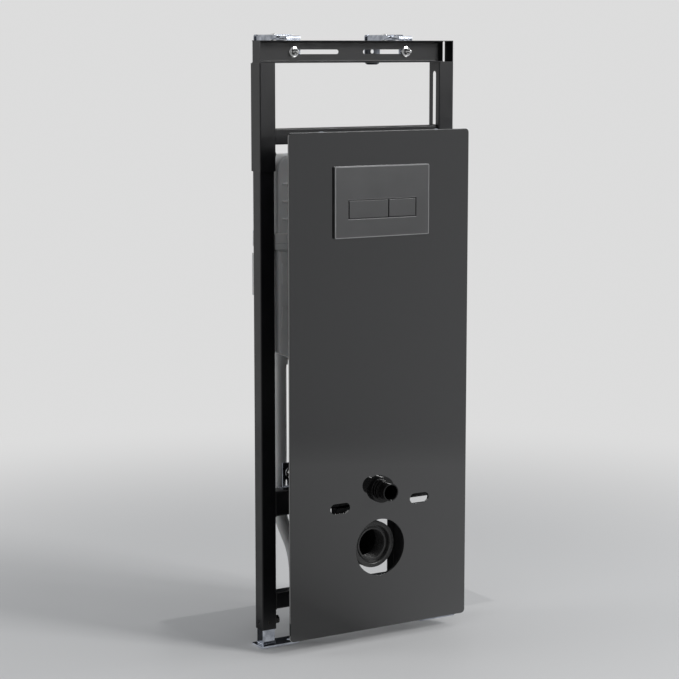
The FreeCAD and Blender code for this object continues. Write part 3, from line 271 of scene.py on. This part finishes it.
def makeFinish(look):
    made, tree, shader = newFinish(look["title"], look["sockets"])
    tint(tree, shader, remap(tree, noise(tree, *look["tone"]), 0, 1), look["dark"], look["light"])
    low, high = look["roughness"]
    tree.links.new(remap(tree, noise(tree, *look["gloss"]), low, high), shader.inputs["Roughness"])
    relief(tree, shader, look["relief"])
    return made


finishes = {title: makeFinish(look) for title, look in finishLooks.items()}
for name, node in nodes.items():
    node.data.materials.clear()
    node.data.materials.append(finishes[nodeSlot(name)])
print("finishes made:", len(bpy.data.materials))


# Dressed copies of the nodes: the same shape with its real edge rounding and smooth curves

dressLook = {
    "joinWithin": 0.000002,  # metres
    "flatWithin": 0.5,  # degrees, as the two below
    "sharpFrom": 30,
    "sharpMargin": 2,
    "segments": 2,
    "ownMaterial": -1,  # a rounded edge then keeps the finish beside it
    "slanted": (0.3, 0.95),  # how far a chamfer's face looks to the front
    "gapFrom": 0.7,  # how far a gap's wall looks sideways
    "gapInset": 0.02,
}


def addObject(name, data):
    made = bpy.data.objects.new(name, data)
    bpy.context.scene.collection.objects.link(made)
    return made


def mergedShape(mesh):
    # a node's mesh is loose triangles, which are joined here
    shape = bmesh.new()
    shape.from_mesh(mesh)
    bmesh.ops.remove_doubles(shape, verts=shape.verts, dist=dressLook["joinWithin"])
    return shape


def mergedCopy(name):
    mesh = nodes[name].data.copy()
    shape = mergedShape(mesh)
    flat = math.radians(dressLook["flatWithin"])
    bmesh.ops.dissolve_limit(shape, angle_limit=flat, verts=shape.verts, edges=shape.edges)
    shape.to_mesh(mesh)
    shape.free()
    return addObject(name + "_dressed", mesh)


def newPiece(name, shape, finish):
    mesh = bpy.data.meshes.new(name)
    shape.to_mesh(mesh)
    shape.free()
    mesh.materials.append(finish)
    return addObject(name, mesh)


def bakeModifiers(piece):
    graph = bpy.context.evaluated_depsgraph_get()
    shown = piece.evaluated_get(graph)
    mesh = bpy.data.meshes.new_from_object(shown, preserve_all_data_layers=True, depsgraph=graph)
    piece.modifiers.clear()
    piece.data = mesh
    return piece


def settle(piece, body, slotName, *replaced):
    if replaced:
        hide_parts(*replaced)
    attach(piece, body)
    return piece


def smoothed(piece, edge, rim=dressLook["ownMaterial"]):
    # smooth curves, flat flats, and every sharp edge rounded by the given radius
    sharp = dressLook["sharpFrom"]
    piece.data.shade_smooth()
    piece.data.set_sharp_from_angle(angle=math.radians(sharp))
    bevel = piece.modifiers.new("edge", "BEVEL")
    bevel.width = edge
    bevel.segments = dressLook["segments"]
    bevel.limit_method = "ANGLE"
    bevel.angle_limit = math.radians(sharp + dressLook["sharpMargin"])
    bevel.use_clamp_overlap = True
    bevel.material = rim
    weigh = piece.modifiers.new("flats", "WEIGHTED_NORMAL")
    weigh.keep_sharp = True
    return bakeModifiers(piece)


def dressed(name, edge):
    piece = mergedCopy(name)
    faces = piece.data.polygons
    rim = dressLook["ownMaterial"]
    if name in rimFinishesAndHighlights:
        piece.data.materials.append(finishes[rimFinishesAndHighlights[name]])
        rim = len(piece.data.materials) - 1
    if name in slantedRims:
        least, most = dressLook["slanted"]
        for face in faces:
            if least < -face.normal.y < most:
                face.material_index = rim
    if name in gapSided:
        # upright walls between the plate and its buttons, which take painted shade
        piece.data.materials.append(finishes["painted_gap_shade"])
        last = len(piece.data.materials) - 1
        low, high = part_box("flush_plate")
        inset = dressLook["gapInset"]
        for face in faces:
            inside = low[0] + inset < face.center.x < high[0] - inset
            if inside and abs(face.normal.x) > dressLook["gapFrom"]:
                face.material_index = last
    smoothed(piece, edge, rim)
    return settle(piece, nodeBody(name), nodeSlot(name), name)


# edge finishes: the glass's polished edge, and painted highlights on the flush plate's and the feet's
# edges
rimFinishesAndHighlights = {"glass_panel": "glass_edge", "flush_plate": "plate_rim_highlight", "left_foot": "zinc_edge_highlight",
               "right_foot": "zinc_edge_highlight"}
slantedRims = ("glass_panel", "flush_plate")
gapSided = ("flush_plate", "large_button", "small_button")
# edge rounding of each node, in metres
edgeSizes = {
    "left_post": 0.0005, "right_post": 0.0005, "left_sleeve": 0.0004, "right_sleeve": 0.0004,
    "top_rail": 0.0004, "upper_crossbar": 0.0006, "lower_crossbar": 0.0006, "mid_beam": 0.0006,
    "left_waste_strut": 0.0006, "right_waste_strut": 0.0006, "waste_clamp": 0.0006,
    "left_cistern_clip": 0.0004, "right_cistern_clip": 0.0004,
    "left_bracket_front": 0.0004, "right_bracket_front": 0.0004, "left_bracket_rear": 0.0005,
    "right_bracket_rear": 0.0005, "left_beam_bracket": 0.0004, "right_beam_bracket": 0.0004,
    "left_standoffs": 0.0005, "right_standoffs": 0.0005,
    "cistern_lid": 0.0012, "cistern_body": 0.0012, "service_shaft": 0.0005,
    "flush_bend": 0.0003, "waste_elbow": 0.0004, "conduit": 0.0003, "button_carrier": 0.0004,
    "flush_connector": 0.0006, "waste_gasket": 0.0008, "glass_panel": 0.0002, "flush_plate": 0.0002,
    "large_button": 0.0003, "small_button": 0.0003, "left_foot": 0.0009, "right_foot": 0.0009,
}
for name, edge in edgeSizes.items():
    dressed(name, edge)
print("nodes dressed:", len(edgeSizes))


# The flush plate's rim with a painted highlight, and the fine dark line of painted shade just inside it,
# for a groove

ringLook = {"rim": 0.0009, "groove": 0.0026, "inside": 0.003, "corner": 0.0015, "proud": 0.00004,
            "steps": 6}


def roundedOutline(low, high, inset, radius, y, steps):
    corners = (
        (high[0] - inset - radius, high[2] - inset - radius, 0),
        (low[0] + inset + radius, high[2] - inset - radius, 90),
        (low[0] + inset + radius, low[2] + inset + radius, 180),
        (high[0] - inset - radius, low[2] + inset + radius, 270),
    )
    points = []
    for x, z, start in corners:
        for step in range(steps + 1):
            angle = math.radians(start + 90 * step / steps)
            points.append((x + radius * math.cos(angle), y, z + radius * math.sin(angle)))
    return points


def plateRing(title, outside, inside, finish):
    look = ringLook
    low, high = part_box("flush_plate")
    front = low[1] - look["proud"]
    back = low[1] + look["proud"]
    shape = bmesh.new()
    rows = []
    for inset, y in ((outside, front), (inside, front), (inside, back), (outside, back)):
        outline = roundedOutline(low, high, inset, look["corner"], y, look["steps"])
        rows.append([shape.verts.new(point) for point in outline])
    for row, beside in zip(rows, rows[1:] + rows[:1]):
        for index in range(len(row)):
            after = (index + 1) % len(row)
            shape.faces.new((row[index], beside[index], beside[after], row[after]))
    bmesh.ops.recalc_face_normals(shape, faces=shape.faces[:])
    return settle(newPiece(title, shape, finish), nodeBody("flush_plate"), "satin_black")


# a ring of painted highlight round the plate's face, then a fine line of painted shade inside it
plateRing("plate_rim_highlight", ringLook["rim"], ringLook["groove"], finishes["plate_rim_highlight"])
plateRing("plate_groove_shade", ringLook["groove"], ringLook["inside"], finishes["painted_gap_shade"])
print("plate rim made")


# Turned and hexagonal forms, built ring by ring along their own axis

roundSteps = 60
roundAngles = [2 * math.pi * step / roundSteps for step in range(roundSteps)]


def circle(radius, height):
    if radius == 0:
        return [(0, 0, height)]
    return [(radius * math.cos(angle), radius * math.sin(angle), height) for angle in roundAngles]


def hexagon(flats, height, fall):
    # a nut's outline, whose corners fall away as the chamfer cuts them
    apothem = flats / 2
    points = []
    for angle in roundAngles:
        radius = apothem / math.cos(angle % (math.pi / 3) - math.pi / 6)
        drop = fall * (radius - apothem * fastenerLook["nutFace"]) * math.tan(math.pi / 6)
        points.append((radius * math.cos(angle), radius * math.sin(angle), height + drop))
    return points


def loft(shape, rings, place):
    made = [[shape.verts.new(place @ Vector(point)) for point in ring] for ring in rings]
    for lower, upper in zip(made, made[1:]):
        count = max(len(lower), len(upper))
        for index in range(count):
            after = (index + 1) % count
            if len(lower) == 1:
                shape.faces.new((lower[0], upper[after], upper[index]))
            elif len(upper) == 1:
                shape.faces.new((lower[index], lower[after], upper[0]))
            else:
                shape.faces.new((lower[index], lower[after], upper[after], upper[index]))


# Bolts, nuts and screws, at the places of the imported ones

fastenerLook = {
    "shank": 0.004,
    "core": 0.0036,
    "tip": 0.0007,
    "pitch": 0.00125,
    "runout": 0.0001,  # from the thread's core to the full shank
    "flats": 0.013,
    "nutThick": 0.0065,
    "headThick": 0.0055,
    "nutFace": 0.86,  # a nut's flat face, as a share of its flats
    "washer": 0.012,
    "washerThick": 0.002,
    "washerEdge": 0.0004,
    "washerFlat": 0.007,
    "washerFall": 0.0009,  # how far a washer's face falls away to its edge
    "railStud": 0.019,  # ahead of the rail's web
    "beamStud": 0.0105,  # ahead of the bracket
    "dome": 0.008,
    "domeThick": 0.0033,
    "domeSteps": 9,
    "clampFlats": 0.017,
    "clampHead": 0.0105,
    "clampFlange": 0.0105,
    "clampFlangeThick": 0.0025,
}
alongAxis = {
    "x": Matrix.Rotation(math.radians(90), 4, "Y"),
    "-x": Matrix.Rotation(math.radians(-90), 4, "Y"),
    "y": Matrix.Rotation(math.radians(-90), 4, "X"),
    "z": Matrix.Identity(4),
}


def solidBoxes(name):
    # lowest and highest corner of each separate solid of a node, from left to right
    shape = mergedShape(nodes[name].data)
    left = set(shape.verts)
    boxes = []
    while left:
        front = [left.pop()]
        found = list(front)
        while front:
            point = front.pop()
            for edge in point.link_edges:
                other = edge.other_vert(point)
                if other in left:
                    left.remove(other)
                    front.append(other)
                    found.append(other)
        low = Vector([min(point.co[axis] for point in found) for axis in range(3)])
        high = Vector([max(point.co[axis] for point in found) for axis in range(3)])
        boxes.append((low, high))
    shape.free()
    return sorted(boxes, key=lambda box: tuple(box[0]))


def addStud(shape, place, low, high, threadedTo=0):
    tip = fastenerLook["tip"]
    core = fastenerLook["core"]
    shank = fastenerLook["shank"]
    rings = [circle(0, low), circle(core - tip, low)]
    if threadedTo:
        rings += [circle(core, low + tip), circle(core, threadedTo)]
    else:
        rings += [circle(shank, low + tip)]
    full = max(threadedTo, low + tip) + fastenerLook["runout"]
    loft(shape, rings + [circle(shank, full), circle(shank, high), circle(0, high)], place)


def addNut(shape, place, low, high, flats):
    face = flats / 2 * fastenerLook["nutFace"]
    rings = [circle(0, low), circle(face, low), hexagon(flats, low, 1), hexagon(flats, high, -1)]
    loft(shape, rings + [circle(face, high), circle(0, high)], place)


def addWasher(shape, place, low, high, radius):
    edge = fastenerLook["washerEdge"]
    fallen = low + fastenerLook["washerFall"]
    rings = [circle(0, low), circle(fastenerLook["washerFlat"], low), circle(radius - edge, fallen)]
    rings.append(circle(radius, fallen + edge))
    rings += [circle(radius, high - edge), circle(radius - edge, high), circle(0, high)]
    loft(shape, rings, place)


def addDome(shape, place, low, high, radius):
    rings = [circle(0, low), circle(radius, low)]
    steps = fastenerLook["domeSteps"]
    for step in range(1, steps):
        angle = math.pi / 2 * step / steps
        rings.append(circle(radius * math.cos(angle), low + (high - low) * math.sin(angle)))
    loft(shape, rings + [circle(0, high)], place)


def webBolts(name, reach):
    # bolts that lie along Y, with a nut and a washer in front and a head at the back
    look = fastenerLook
    shape = bmesh.new()
    starts = []
    washer = reach - look["washerThick"]
    nut = washer - look["nutThick"]
    for low, high in solidBoxes(name):
        start = Vector(((low.x + high.x) / 2, low.y, (low.z + high.z) / 2))
        place = Matrix.Translation(start) @ alongAxis["y"]
        length = high.y - low.y
        addStud(shape, place, 0, length - look["headThick"] / 2, nut)
        addNut(shape, place, nut, washer, look["flats"])
        addWasher(shape, place, washer, reach, look["washer"])
        addNut(shape, place, length - look["headThick"], length, look["flats"])
        starts.append(start)
    return shape, starts, nut


def bracketBolts():
    # upright bolts with a nut below and a domed head on top
    look = fastenerLook
    shape = bmesh.new()
    starts = []
    nut = look["washerThick"]
    washer = nut + look["nutThick"]
    for low, high in solidBoxes("bracket_bolts"):
        start = Vector(((low.x + high.x) / 2, (low.y + high.y) / 2, low.z))
        place = Matrix.Translation(start) @ alongAxis["z"]
        length = high.z - low.z
        addStud(shape, place, 0, length - look["domeThick"] / 2, nut)
        addNut(shape, place, nut, washer, look["flats"])
        addWasher(shape, place, washer, washer + look["washerThick"], look["washer"])
        addDome(shape, place, length - look["domeThick"], length, look["dome"])
        starts.append(start)
    return shape, starts, nut


def outward(low, high):
    # start and direction of a screw that is driven outwards through a post
    middle = Vector((0, (low.y + high.y) / 2, (low.z + high.z) / 2))
    if low.x < 0:
        return Matrix.Translation(middle + Vector((high.x, 0, 0))) @ alongAxis["-x"]
    return Matrix.Translation(middle + Vector((low.x, 0, 0))) @ alongAxis["x"]


def sleeveBolts():
    look = fastenerLook
    shape = bmesh.new()
    for low, high in solidBoxes("sleeve_bolts"):
        place = outward(low, high)
        washer = look["nutThick"]
        addNut(shape, place, 0, washer, look["flats"])
        addWasher(shape, place, washer, washer + look["washerThick"], look["washer"])
        addStud(shape, place, washer, high.x - low.x)
    return shape


def clampScrews():
    look = fastenerLook
    shape = bmesh.new()
    for low, high in solidBoxes("clamp_screws"):
        place = outward(low, high)
        flange = look["clampHead"]
        addNut(shape, place, 0, flange, look["clampFlats"])
        addWasher(shape, place, flange, flange + look["clampFlangeThick"], look["clampFlange"])
        addStud(shape, place, flange, high.x - low.x)
    return shape


def grubScrews():
    # socket screws in the holes at the posts' fronts, which press on the legs
    look = grubLook
    shape = bmesh.new()
    for side in sides:
        low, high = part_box(side + "_post")
        start = Vector(((low[0] + high[0]) / 2, low[1] + look["sunk"], look["height"]))
        place = Matrix.Translation(start) @ alongAxis["y"]
        face = look["radius"] - look["chamfer"]
        rings = [circle(0, look["deep"]), hexagon(look["socket"], look["deep"], 0)]
        rings += [hexagon(look["socket"], 0, 0), circle(face, 0), circle(look["radius"], look["chamfer"])]
        loft(shape, rings + [circle(look["radius"], look["length"]), circle(0, look["length"])], place)
    return shape


grubLook = {"height": 0.054, "radius": 0.0042, "chamfer": 0.0004, "socket": 0.004, "deep": 0.0013,
            "sunk": 0.0003, "length": 0.0019}
turnedEdges = {"grub": 0.0001, "bolt": 0.00015, "screw": 0.0002}
settle(smoothed(newPiece("grub_screws", grubScrews(), finishes["black_screw"]), turnedEdges["grub"]),
       nodeBody("left_post"), "black_screw")
bolts = {
    "rail_bolts": webBolts("rail_bolts", fastenerLook["railStud"]),
    "beam_bolts": webBolts("beam_bolts", fastenerLook["beamStud"]),
    "bracket_bolts": bracketBolts(),
}
for name, (shape, starts, length) in bolts.items():
    piece = newPiece(name + "_turned", shape, finishes["bolt_steel"])
    settle(smoothed(piece, turnedEdges["bolt"]), nodeBody(name), "bolt_steel", name)
screws = {"sleeve_bolts": (sleeveBolts(), "bolt_steel"), "clamp_screws": (clampScrews(), "black_screw")}
for name, (shape, slotName) in screws.items():
    piece = newPiece(name + "_turned", shape, finishes[slotName])
    settle(smoothed(piece, turnedEdges["screw"]), nodeBody(name), slotName, name)
print("bolts and screws made")


# Geometry Nodes for what repeats: threads, weld beads and the gasket's ribs


def newTree(title, **inputs):
    tree = bpy.data.node_groups.new(title, "GeometryNodeTree")
    tree.interface.new_socket("Geometry", in_out="INPUT", socket_type="NodeSocketGeometry")
    for name, kind in inputs.items():
        tree.interface.new_socket(name, in_out="INPUT", socket_type="NodeSocket" + kind)
    tree.interface.new_socket("Geometry", in_out="OUTPUT", socket_type="NodeSocketGeometry")
    return tree, tree.nodes.new("NodeGroupInput").outputs, tree.nodes.new("NodeGroupOutput").inputs


def addNode(tree, kind, **links):
    # a node of the tree, whose inputs are linked from sockets or set to values
    made = tree.nodes.new("GeometryNode" + kind)
    for title, value in links.items():
        feed(tree, made.inputs[title.replace("_", " ")], value)
    return made


def endTree(tree, outlet, instances, finish):
    real = addNode(tree, "RealizeInstances", Geometry=instances)
    smooth = addNode(tree, "SetShadeSmooth", Geometry=real.outputs[0])
    painted = addNode(tree, "SetMaterial", Geometry=smooth.outputs[0], Material=finish)
    tree.links.new(painted.outputs[0], outlet["Geometry"])
    return tree


threadLook = {"roundSteps": 24, "ridgeSides": 4}
gasketLook = {"bore": 0.034, "mouthIn": 0.008, "firstRib": 0.004, "ribs": 7, "spacing": 0.005,
              "ridge": 0.0009, "roundSteps": 72, "ridgeSides": 8}
weldLook = {"pitch": 0.0011, "radius": 0.0012, "legIn": 0.00225, "plate": 0.004, "seed": 4,
            "swell": (0.82, 1.12), "beadSides": 8, "beadRings": 5}


def makeThreadTree():
    tree, given, outlet = newTree("threadTree", Core="Float", Ridge="Float", Pitch="Float",
                                  Length="Float", Turn="Vector", Finish="Material")
    rounds = addMath(tree, "DIVIDE", given["Length"], given["Pitch"])
    spiral = addNode(tree, "CurveSpiral", Resolution=threadLook["roundSteps"], Rotations=rounds,
                     Start_Radius=given["Core"], End_Radius=given["Core"], Height=given["Length"])
    upright = addNode(tree, "SetCurveNormal", Curve=spiral.outputs[0])
    upright.mode = "Z_UP"
    ridge = addNode(tree, "CurvePrimitiveCircle", Resolution=threadLook["ridgeSides"],
                    Radius=given["Ridge"])
    helix = addNode(tree, "CurveToMesh", Curve=upright.outputs[0], Profile_Curve=ridge.outputs[0],
                    Fill_Caps=True)
    placed = addNode(tree, "InstanceOnPoints", Points=given["Geometry"], Instance=helix.outputs[0],
                     Rotation=given["Turn"])
    return endTree(tree, outlet, placed.outputs[0], given["Finish"])


def makeRibTree():
    tree, given, outlet = newTree("ribTree", Count="Int", Spacing="Float", Radius="Float", Ridge="Float",
                                  Turn="Vector", Finish="Material")
    step = tree.nodes.new("ShaderNodeCombineXYZ")
    tree.links.new(given["Spacing"], step.inputs["Z"])
    line = addNode(tree, "MeshLine", Count=given["Count"], Offset=step.outputs[0])
    around = addNode(tree, "CurvePrimitiveCircle", Resolution=gasketLook["roundSteps"],
                     Radius=given["Radius"])
    ridge = addNode(tree, "CurvePrimitiveCircle", Resolution=gasketLook["ridgeSides"],
                    Radius=given["Ridge"])
    ring = addNode(tree, "CurveToMesh", Curve=around.outputs[0], Profile_Curve=ridge.outputs[0])
    row = addNode(tree, "InstanceOnPoints", Points=line.outputs[0], Instance=ring.outputs[0])
    placed = addNode(tree, "InstanceOnPoints", Points=given["Geometry"], Instance=row.outputs[0],
                     Rotation=given["Turn"])
    return endTree(tree, outlet, placed.outputs[0], given["Finish"])


def makeWeldTree():
    tree, given, outlet = newTree("weldTree", Pitch="Float", Radius="Float", Seed="Int",
                                  Finish="Material")
    path = addNode(tree, "MeshToCurve", Mesh=given["Geometry"])
    steps = addNode(tree, "ResampleCurve", Curve=path.outputs[0])
    steps.mode = "LENGTH"
    tree.links.new(given["Pitch"], steps.inputs["Length"])
    blob = addNode(tree, "MeshUVSphere", Segments=weldLook["beadSides"], Rings=weldLook["beadRings"],
                   Radius=given["Radius"])
    swell = tree.nodes.new("FunctionNodeRandomValue")
    swell.data_type = "FLOAT"
    swell.inputs[2].default_value, swell.inputs[3].default_value = weldLook["swell"]
    tree.links.new(given["Seed"], swell.inputs["Seed"])
    placed = addNode(tree, "InstanceOnPoints", Points=steps.outputs[0], Instance=blob.outputs[0],
                     Scale=swell.outputs[1])
    return endTree(tree, outlet, placed.outputs[0], given["Finish"])


def grown(name, tree, points, edges, **values):
    # a plain mesh that a tree makes from points and edges
    mesh = bpy.data.meshes.new(name)
    mesh.from_pydata([tuple(point) for point in points], edges, [])
    piece = addObject(name, mesh)
    grow = piece.modifiers.new("grow", "NODES")
    grow.node_group = tree
    for socket in tree.interface.items_tree:
        if socket.in_out == "INPUT" and socket.name in values:
            grow[socket.identifier] = values[socket.name]
    return bakeModifiers(piece)


threadTree = makeThreadTree()
ribTree = makeRibTree()
weldTree = makeWeldTree()
turnTo = {"y": (math.radians(-90), 0, 0), "z": (0, 0, 0)}


def makeThreads():
    tip = fastenerLook["tip"]
    for name, (shape, starts, length) in bolts.items():
        axis = "z" if name == "bracket_bolts" else "y"
        shift = Vector((0, tip, 0)) if axis == "y" else Vector((0, 0, tip))
        piece = grown(
            name + "_thread", threadTree, [start + shift for start in starts], [],
            Core=fastenerLook["core"], Ridge=fastenerLook["shank"] - fastenerLook["core"],
            Pitch=fastenerLook["pitch"], Length=length - tip, Turn=turnTo[axis],
            Finish=finishes["bolt_steel"])
        settle(piece, nodeBody(name), "bolt_steel")


def makeGasketRibs():
    low, high = (Vector(corner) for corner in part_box("waste_gasket"))
    start = Vector(((low.x + high.x) / 2, low.y + gasketLook["mouthIn"] + gasketLook["firstRib"],
                    (low.z + high.z) / 2))
    piece = grown(
        "gasket_ribs", ribTree, [start], [], Count=gasketLook["ribs"], Spacing=gasketLook["spacing"],
        Radius=gasketLook["bore"], Ridge=gasketLook["ridge"], Turn=turnTo["y"], Finish=finishes["rubber"])
    settle(piece, nodeBody("waste_gasket"), "rubber")


def loops(rectangles):
    # points and edges of closed rectangles, each given by its four corners
    points = []
    edges = []
    for corners in rectangles:
        first = len(points)
        points += corners
        edges += [(first + index, first + (index + 1) % 4) for index in range(4)]
    return points, edges


def rectangleX(x, low, high):
    return [(x, low[1], low[2]), (x, high[1], low[2]), (x, high[1], high[2]), (x, low[1], high[2])]


def rectangleZ(z, low, high):
    return [(low[0], low[1], z), (high[0], low[1], z), (high[0], high[1], z), (low[0], high[1], z)]


def makeWelds():
    painted = []
    for name in ("upper_crossbar", "lower_crossbar", "mid_beam"):
        low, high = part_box(name)
        painted += [rectangleX(low[0], low, high), rectangleX(high[0], low, high)]
    plated = []
    for side in sides:
        low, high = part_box(side + "_waste_strut")
        painted += [rectangleZ(low[2], low, high), rectangleZ(high[2], low, high)]
        low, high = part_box(side + "_post")
        legIn = weldLook["legIn"]
        low = (low[0] + legIn, low[1] + legIn)
        high = (high[0] - legIn, high[1] - legIn)
        plated.append(rectangleZ(weldLook["plate"], low, high))
    for title, rectangles, slotName in (("frame_welds", painted, "powder_coat"),
                                        ("foot_welds", plated, "zinc")):
        points, edges = loops(rectangles)
        piece = grown(title, weldTree, points, edges, Pitch=weldLook["pitch"], Radius=weldLook["radius"],
                      Seed=weldLook["seed"], Finish=finishes[slotName])
        settle(piece, nodeBody("left_post"), slotName)


makeThreads()
makeGasketRibs()
makeWelds()
print("threads, ribs and welds made")


# Floor, light and camera

stageLook = {
    "floor": (0.60, 0.60, 0.60),
    "floorPatch": 0.98,  # how much of its tone a darker patch keeps
    "floorClouds": (0.6, 2),
    "floorRoughness": 0.6,
    "floorLevel": -0.0006,
    "floorSize": 60,
    "fadeSpan": (0.8, 2.6),  # from the floor's own tone to the backdrop's
    "mirroredFade": 0.75,  # the least share of the backdrop in a mirrored floor
    "backdrop": (0.72, 0.72, 0.72),
    "roomDark": (0.14, 0.142, 0.146),  # the room's left and right side, as polished parts mirror it
    "roomLight": (0.65, 0.657, 0.672),
    "roomSpan": (0, 0.95),
    "roomSide": (0.5, -0.866, 0),
    "roomEdge": (-0.3, 0.5),
    "worldLight": (0.93, 0.96, 1.0),
    "worldStrength": 0.40,
    # the shade card: painted shade that only polished surfaces mirror
    "cardTone": (0.035, 0.037, 0.042),
    "cardPatch": 0.9,
    "cardClouds": (2, 2),
    "cardRoughness": 0.9,
    "cardLevel": -0.0003,
    "cardDepth": 0.30,
    "cardOutline": ((-0.36, -0.0003), (0.42, -0.0003), (0.42, 0.45), (-0.34, 0.45)),
    "cardFoot": ((-0.36, 0.03), (0.42, 0.03), (0.42, 0.30), (-0.36, 0.30)),
}


def darker(colour, share):
    return tuple(part * share for part in colour)


def seenRays(tree, path):
    # 1 for what the camera sees, directly, mirrored or through glass
    seen = addMath(tree, "MAXIMUM", path.outputs["Is Camera Ray"], path.outputs["Is Glossy Ray"])
    return addMath(tree, "MAXIMUM", seen, path.outputs["Is Transmission Ray"])


def backdropColour(tree, path, direction):
    # pale all round, with a darker room in front for mirrored rays
    facing = addVectorMath(tree, "DOT_PRODUCT", direction, stageLook["roomSide"])["Value"]
    shade = remap(tree, facing, 0, 1, stageLook["roomEdge"])
    mirrored = addMath(tree, "MULTIPLY", shade, path.outputs["Is Glossy Ray"])
    split = tree.nodes.new("ShaderNodeSeparateXYZ")
    tree.links.new(direction, split.inputs[0])
    across = remap(tree, split.outputs["X"], 0, 1, stageLook["roomSpan"])
    room = blendColours(tree, across, stageLook["roomDark"], stageLook["roomLight"])
    return blendColours(tree, mirrored, stageLook["backdrop"], room)


def mixShaders(tree, share, first, second, surface):
    mixer = tree.nodes.new("ShaderNodeMixShader")
    tree.links.new(share, mixer.inputs["Fac"])
    tree.links.new(first, mixer.inputs[1])
    tree.links.new(second, mixer.inputs[2])
    tree.links.new(mixer.outputs["Shader"], surface)


def makeFloor():
    look = stageLook
    bpy.ops.mesh.primitive_plane_add(size=look["floorSize"], location=(0, 0, look["floorLevel"]))
    floor = bpy.context.object
    floor.name = "floor"
    made, tree, shader = newFinish("floorPaint", {"Roughness": look["floorRoughness"]})
    shade = remap(tree, noise(tree, *look["floorClouds"]), 0, 1)
    tint(tree, shader, shade, look["floor"], darker(look["floor"], look["floorPatch"]))
    path = tree.nodes.new("ShaderNodeLightPath")
    point = objectPoint(tree)
    far = addVectorMath(tree, "LENGTH", point)["Value"]
    fade = remap(tree, far, 0, 1, look["fadeSpan"])
    fade.node.interpolation_type = "SMOOTHSTEP"
    share = addMath(tree, "MULTIPLY", fade, seenRays(tree, path))
    least = addMath(tree, "MULTIPLY", path.outputs["Is Glossy Ray"], look["mirroredFade"])
    most = addMath(tree, "MAXIMUM", share, least)
    direction = addVectorMath(tree, "NORMALIZE", point)["Vector"]
    glow = tree.nodes.new("ShaderNodeEmission")
    tree.links.new(backdropColour(tree, path, direction), glow.inputs["Color"])
    mixShaders(tree, most, shader.outputs["BSDF"], glow.outputs["Emission"],
               tree.nodes["Material Output"].inputs["Surface"])
    floor.data.materials.append(made)


def makeShadeCard():
    # painted shade: a dark card upright behind the frame and lying on the floor under it, for the
    # shadowed wall and floor, which only the frame's polished surfaces mirror
    look = stageLook
    corners = [(x, look["cardDepth"], z) for x, z in look["cardOutline"]]
    upright = tuple(range(len(corners)))
    corners += [(x, y, look["cardLevel"]) for x, y in look["cardFoot"]]
    lying = tuple(range(len(upright), len(corners)))
    mesh = bpy.data.meshes.new("shadeCard")
    mesh.from_pydata(corners, [], [upright, lying])
    card = addObject("shadeCard", mesh)
    made, tree, shader = newFinish("paintedShadeCard", {"Roughness": look["cardRoughness"]})
    shade = remap(tree, noise(tree, *look["cardClouds"]), 0, 1)
    tint(tree, shader, shade, look["cardTone"], darker(look["cardTone"], look["cardPatch"]))
    mesh.materials.append(made)
    card.visible_camera = False
    card.visible_diffuse = False
    card.visible_transmission = False
    card.visible_shadow = False


def makeWorld():
    world = bpy.data.worlds.new("studio")
    bpy.context.scene.world = world
    world.use_nodes = True
    tree = world.node_tree
    light = tree.nodes["Background"]
    light.inputs["Color"].default_value = (*stageLook["worldLight"], 1)
    light.inputs["Strength"].default_value = stageLook["worldStrength"]
    path = tree.nodes.new("ShaderNodeLightPath")
    place = tree.nodes.new("ShaderNodeTexCoord")
    seen = tree.nodes.new("ShaderNodeBackground")
    tree.links.new(backdropColour(tree, path, place.outputs["Generated"]), seen.inputs["Color"])
    mixShaders(tree, seenRays(tree, path), light.outputs["Background"], seen.outputs["Background"],
               tree.nodes["World Output"].inputs["Surface"])


lamps = {
    # name: place, aimed at, width, height, watts
    "key": ((2.6, -3.9, 3.1), (0, 0, 0.75), 1.2, 1.2, 140),
    "sheen": ((2.05, -3.75, 1.78), (0, 0, 1.0), 0.5, 0.5, 12),
    "top": ((1.6, -0.8, 3.4), (0, 0, 0.9), 2.4, 1.8, 26),
    "fill": ((-3.8, -2.2, 2.2), (0, 0, 0.7), 2.0, 2.4, 12),
    "side": ((-3.5, 1.6, 1.8), (0, 0, 0.7), 1.6, 2.0, 30),
}


def makeLamps():
    for name, (place, aim, width, height, watts) in lamps.items():
        data = bpy.data.lights.new(name, "AREA")
        data.shape = "RECTANGLE"
        data.size = width
        data.size_y = height
        data.energy = watts
        lamp = addObject(name, data)
        lamp.location = place
        lamp.rotation_euler = (Vector(aim) - Vector(place)).to_track_quat("-Z", "Y").to_euler()


cameraSet = {"place": (-2.368, -3.833, 1.348), "turn": 31.22, "tilt": 8.385, "lens": 105.6,
             "sensor": 36}


def makeCamera():
    data = bpy.data.cameras.new("camera")
    data.lens = cameraSet["lens"]
    data.sensor_width = cameraSet["sensor"]
    camera = addObject("camera", data)
    camera.location = cameraSet["place"]
    camera.rotation_euler = (math.radians(90 - cameraSet["tilt"]), 0, -math.radians(cameraSet["turn"]))
    bpy.context.scene.camera = camera


makeFloor()
makeShadeCard()
makeWorld()
makeLamps()
makeCamera()
bpy.context.scene.view_settings.view_transform = "Standard"
print("stage set")
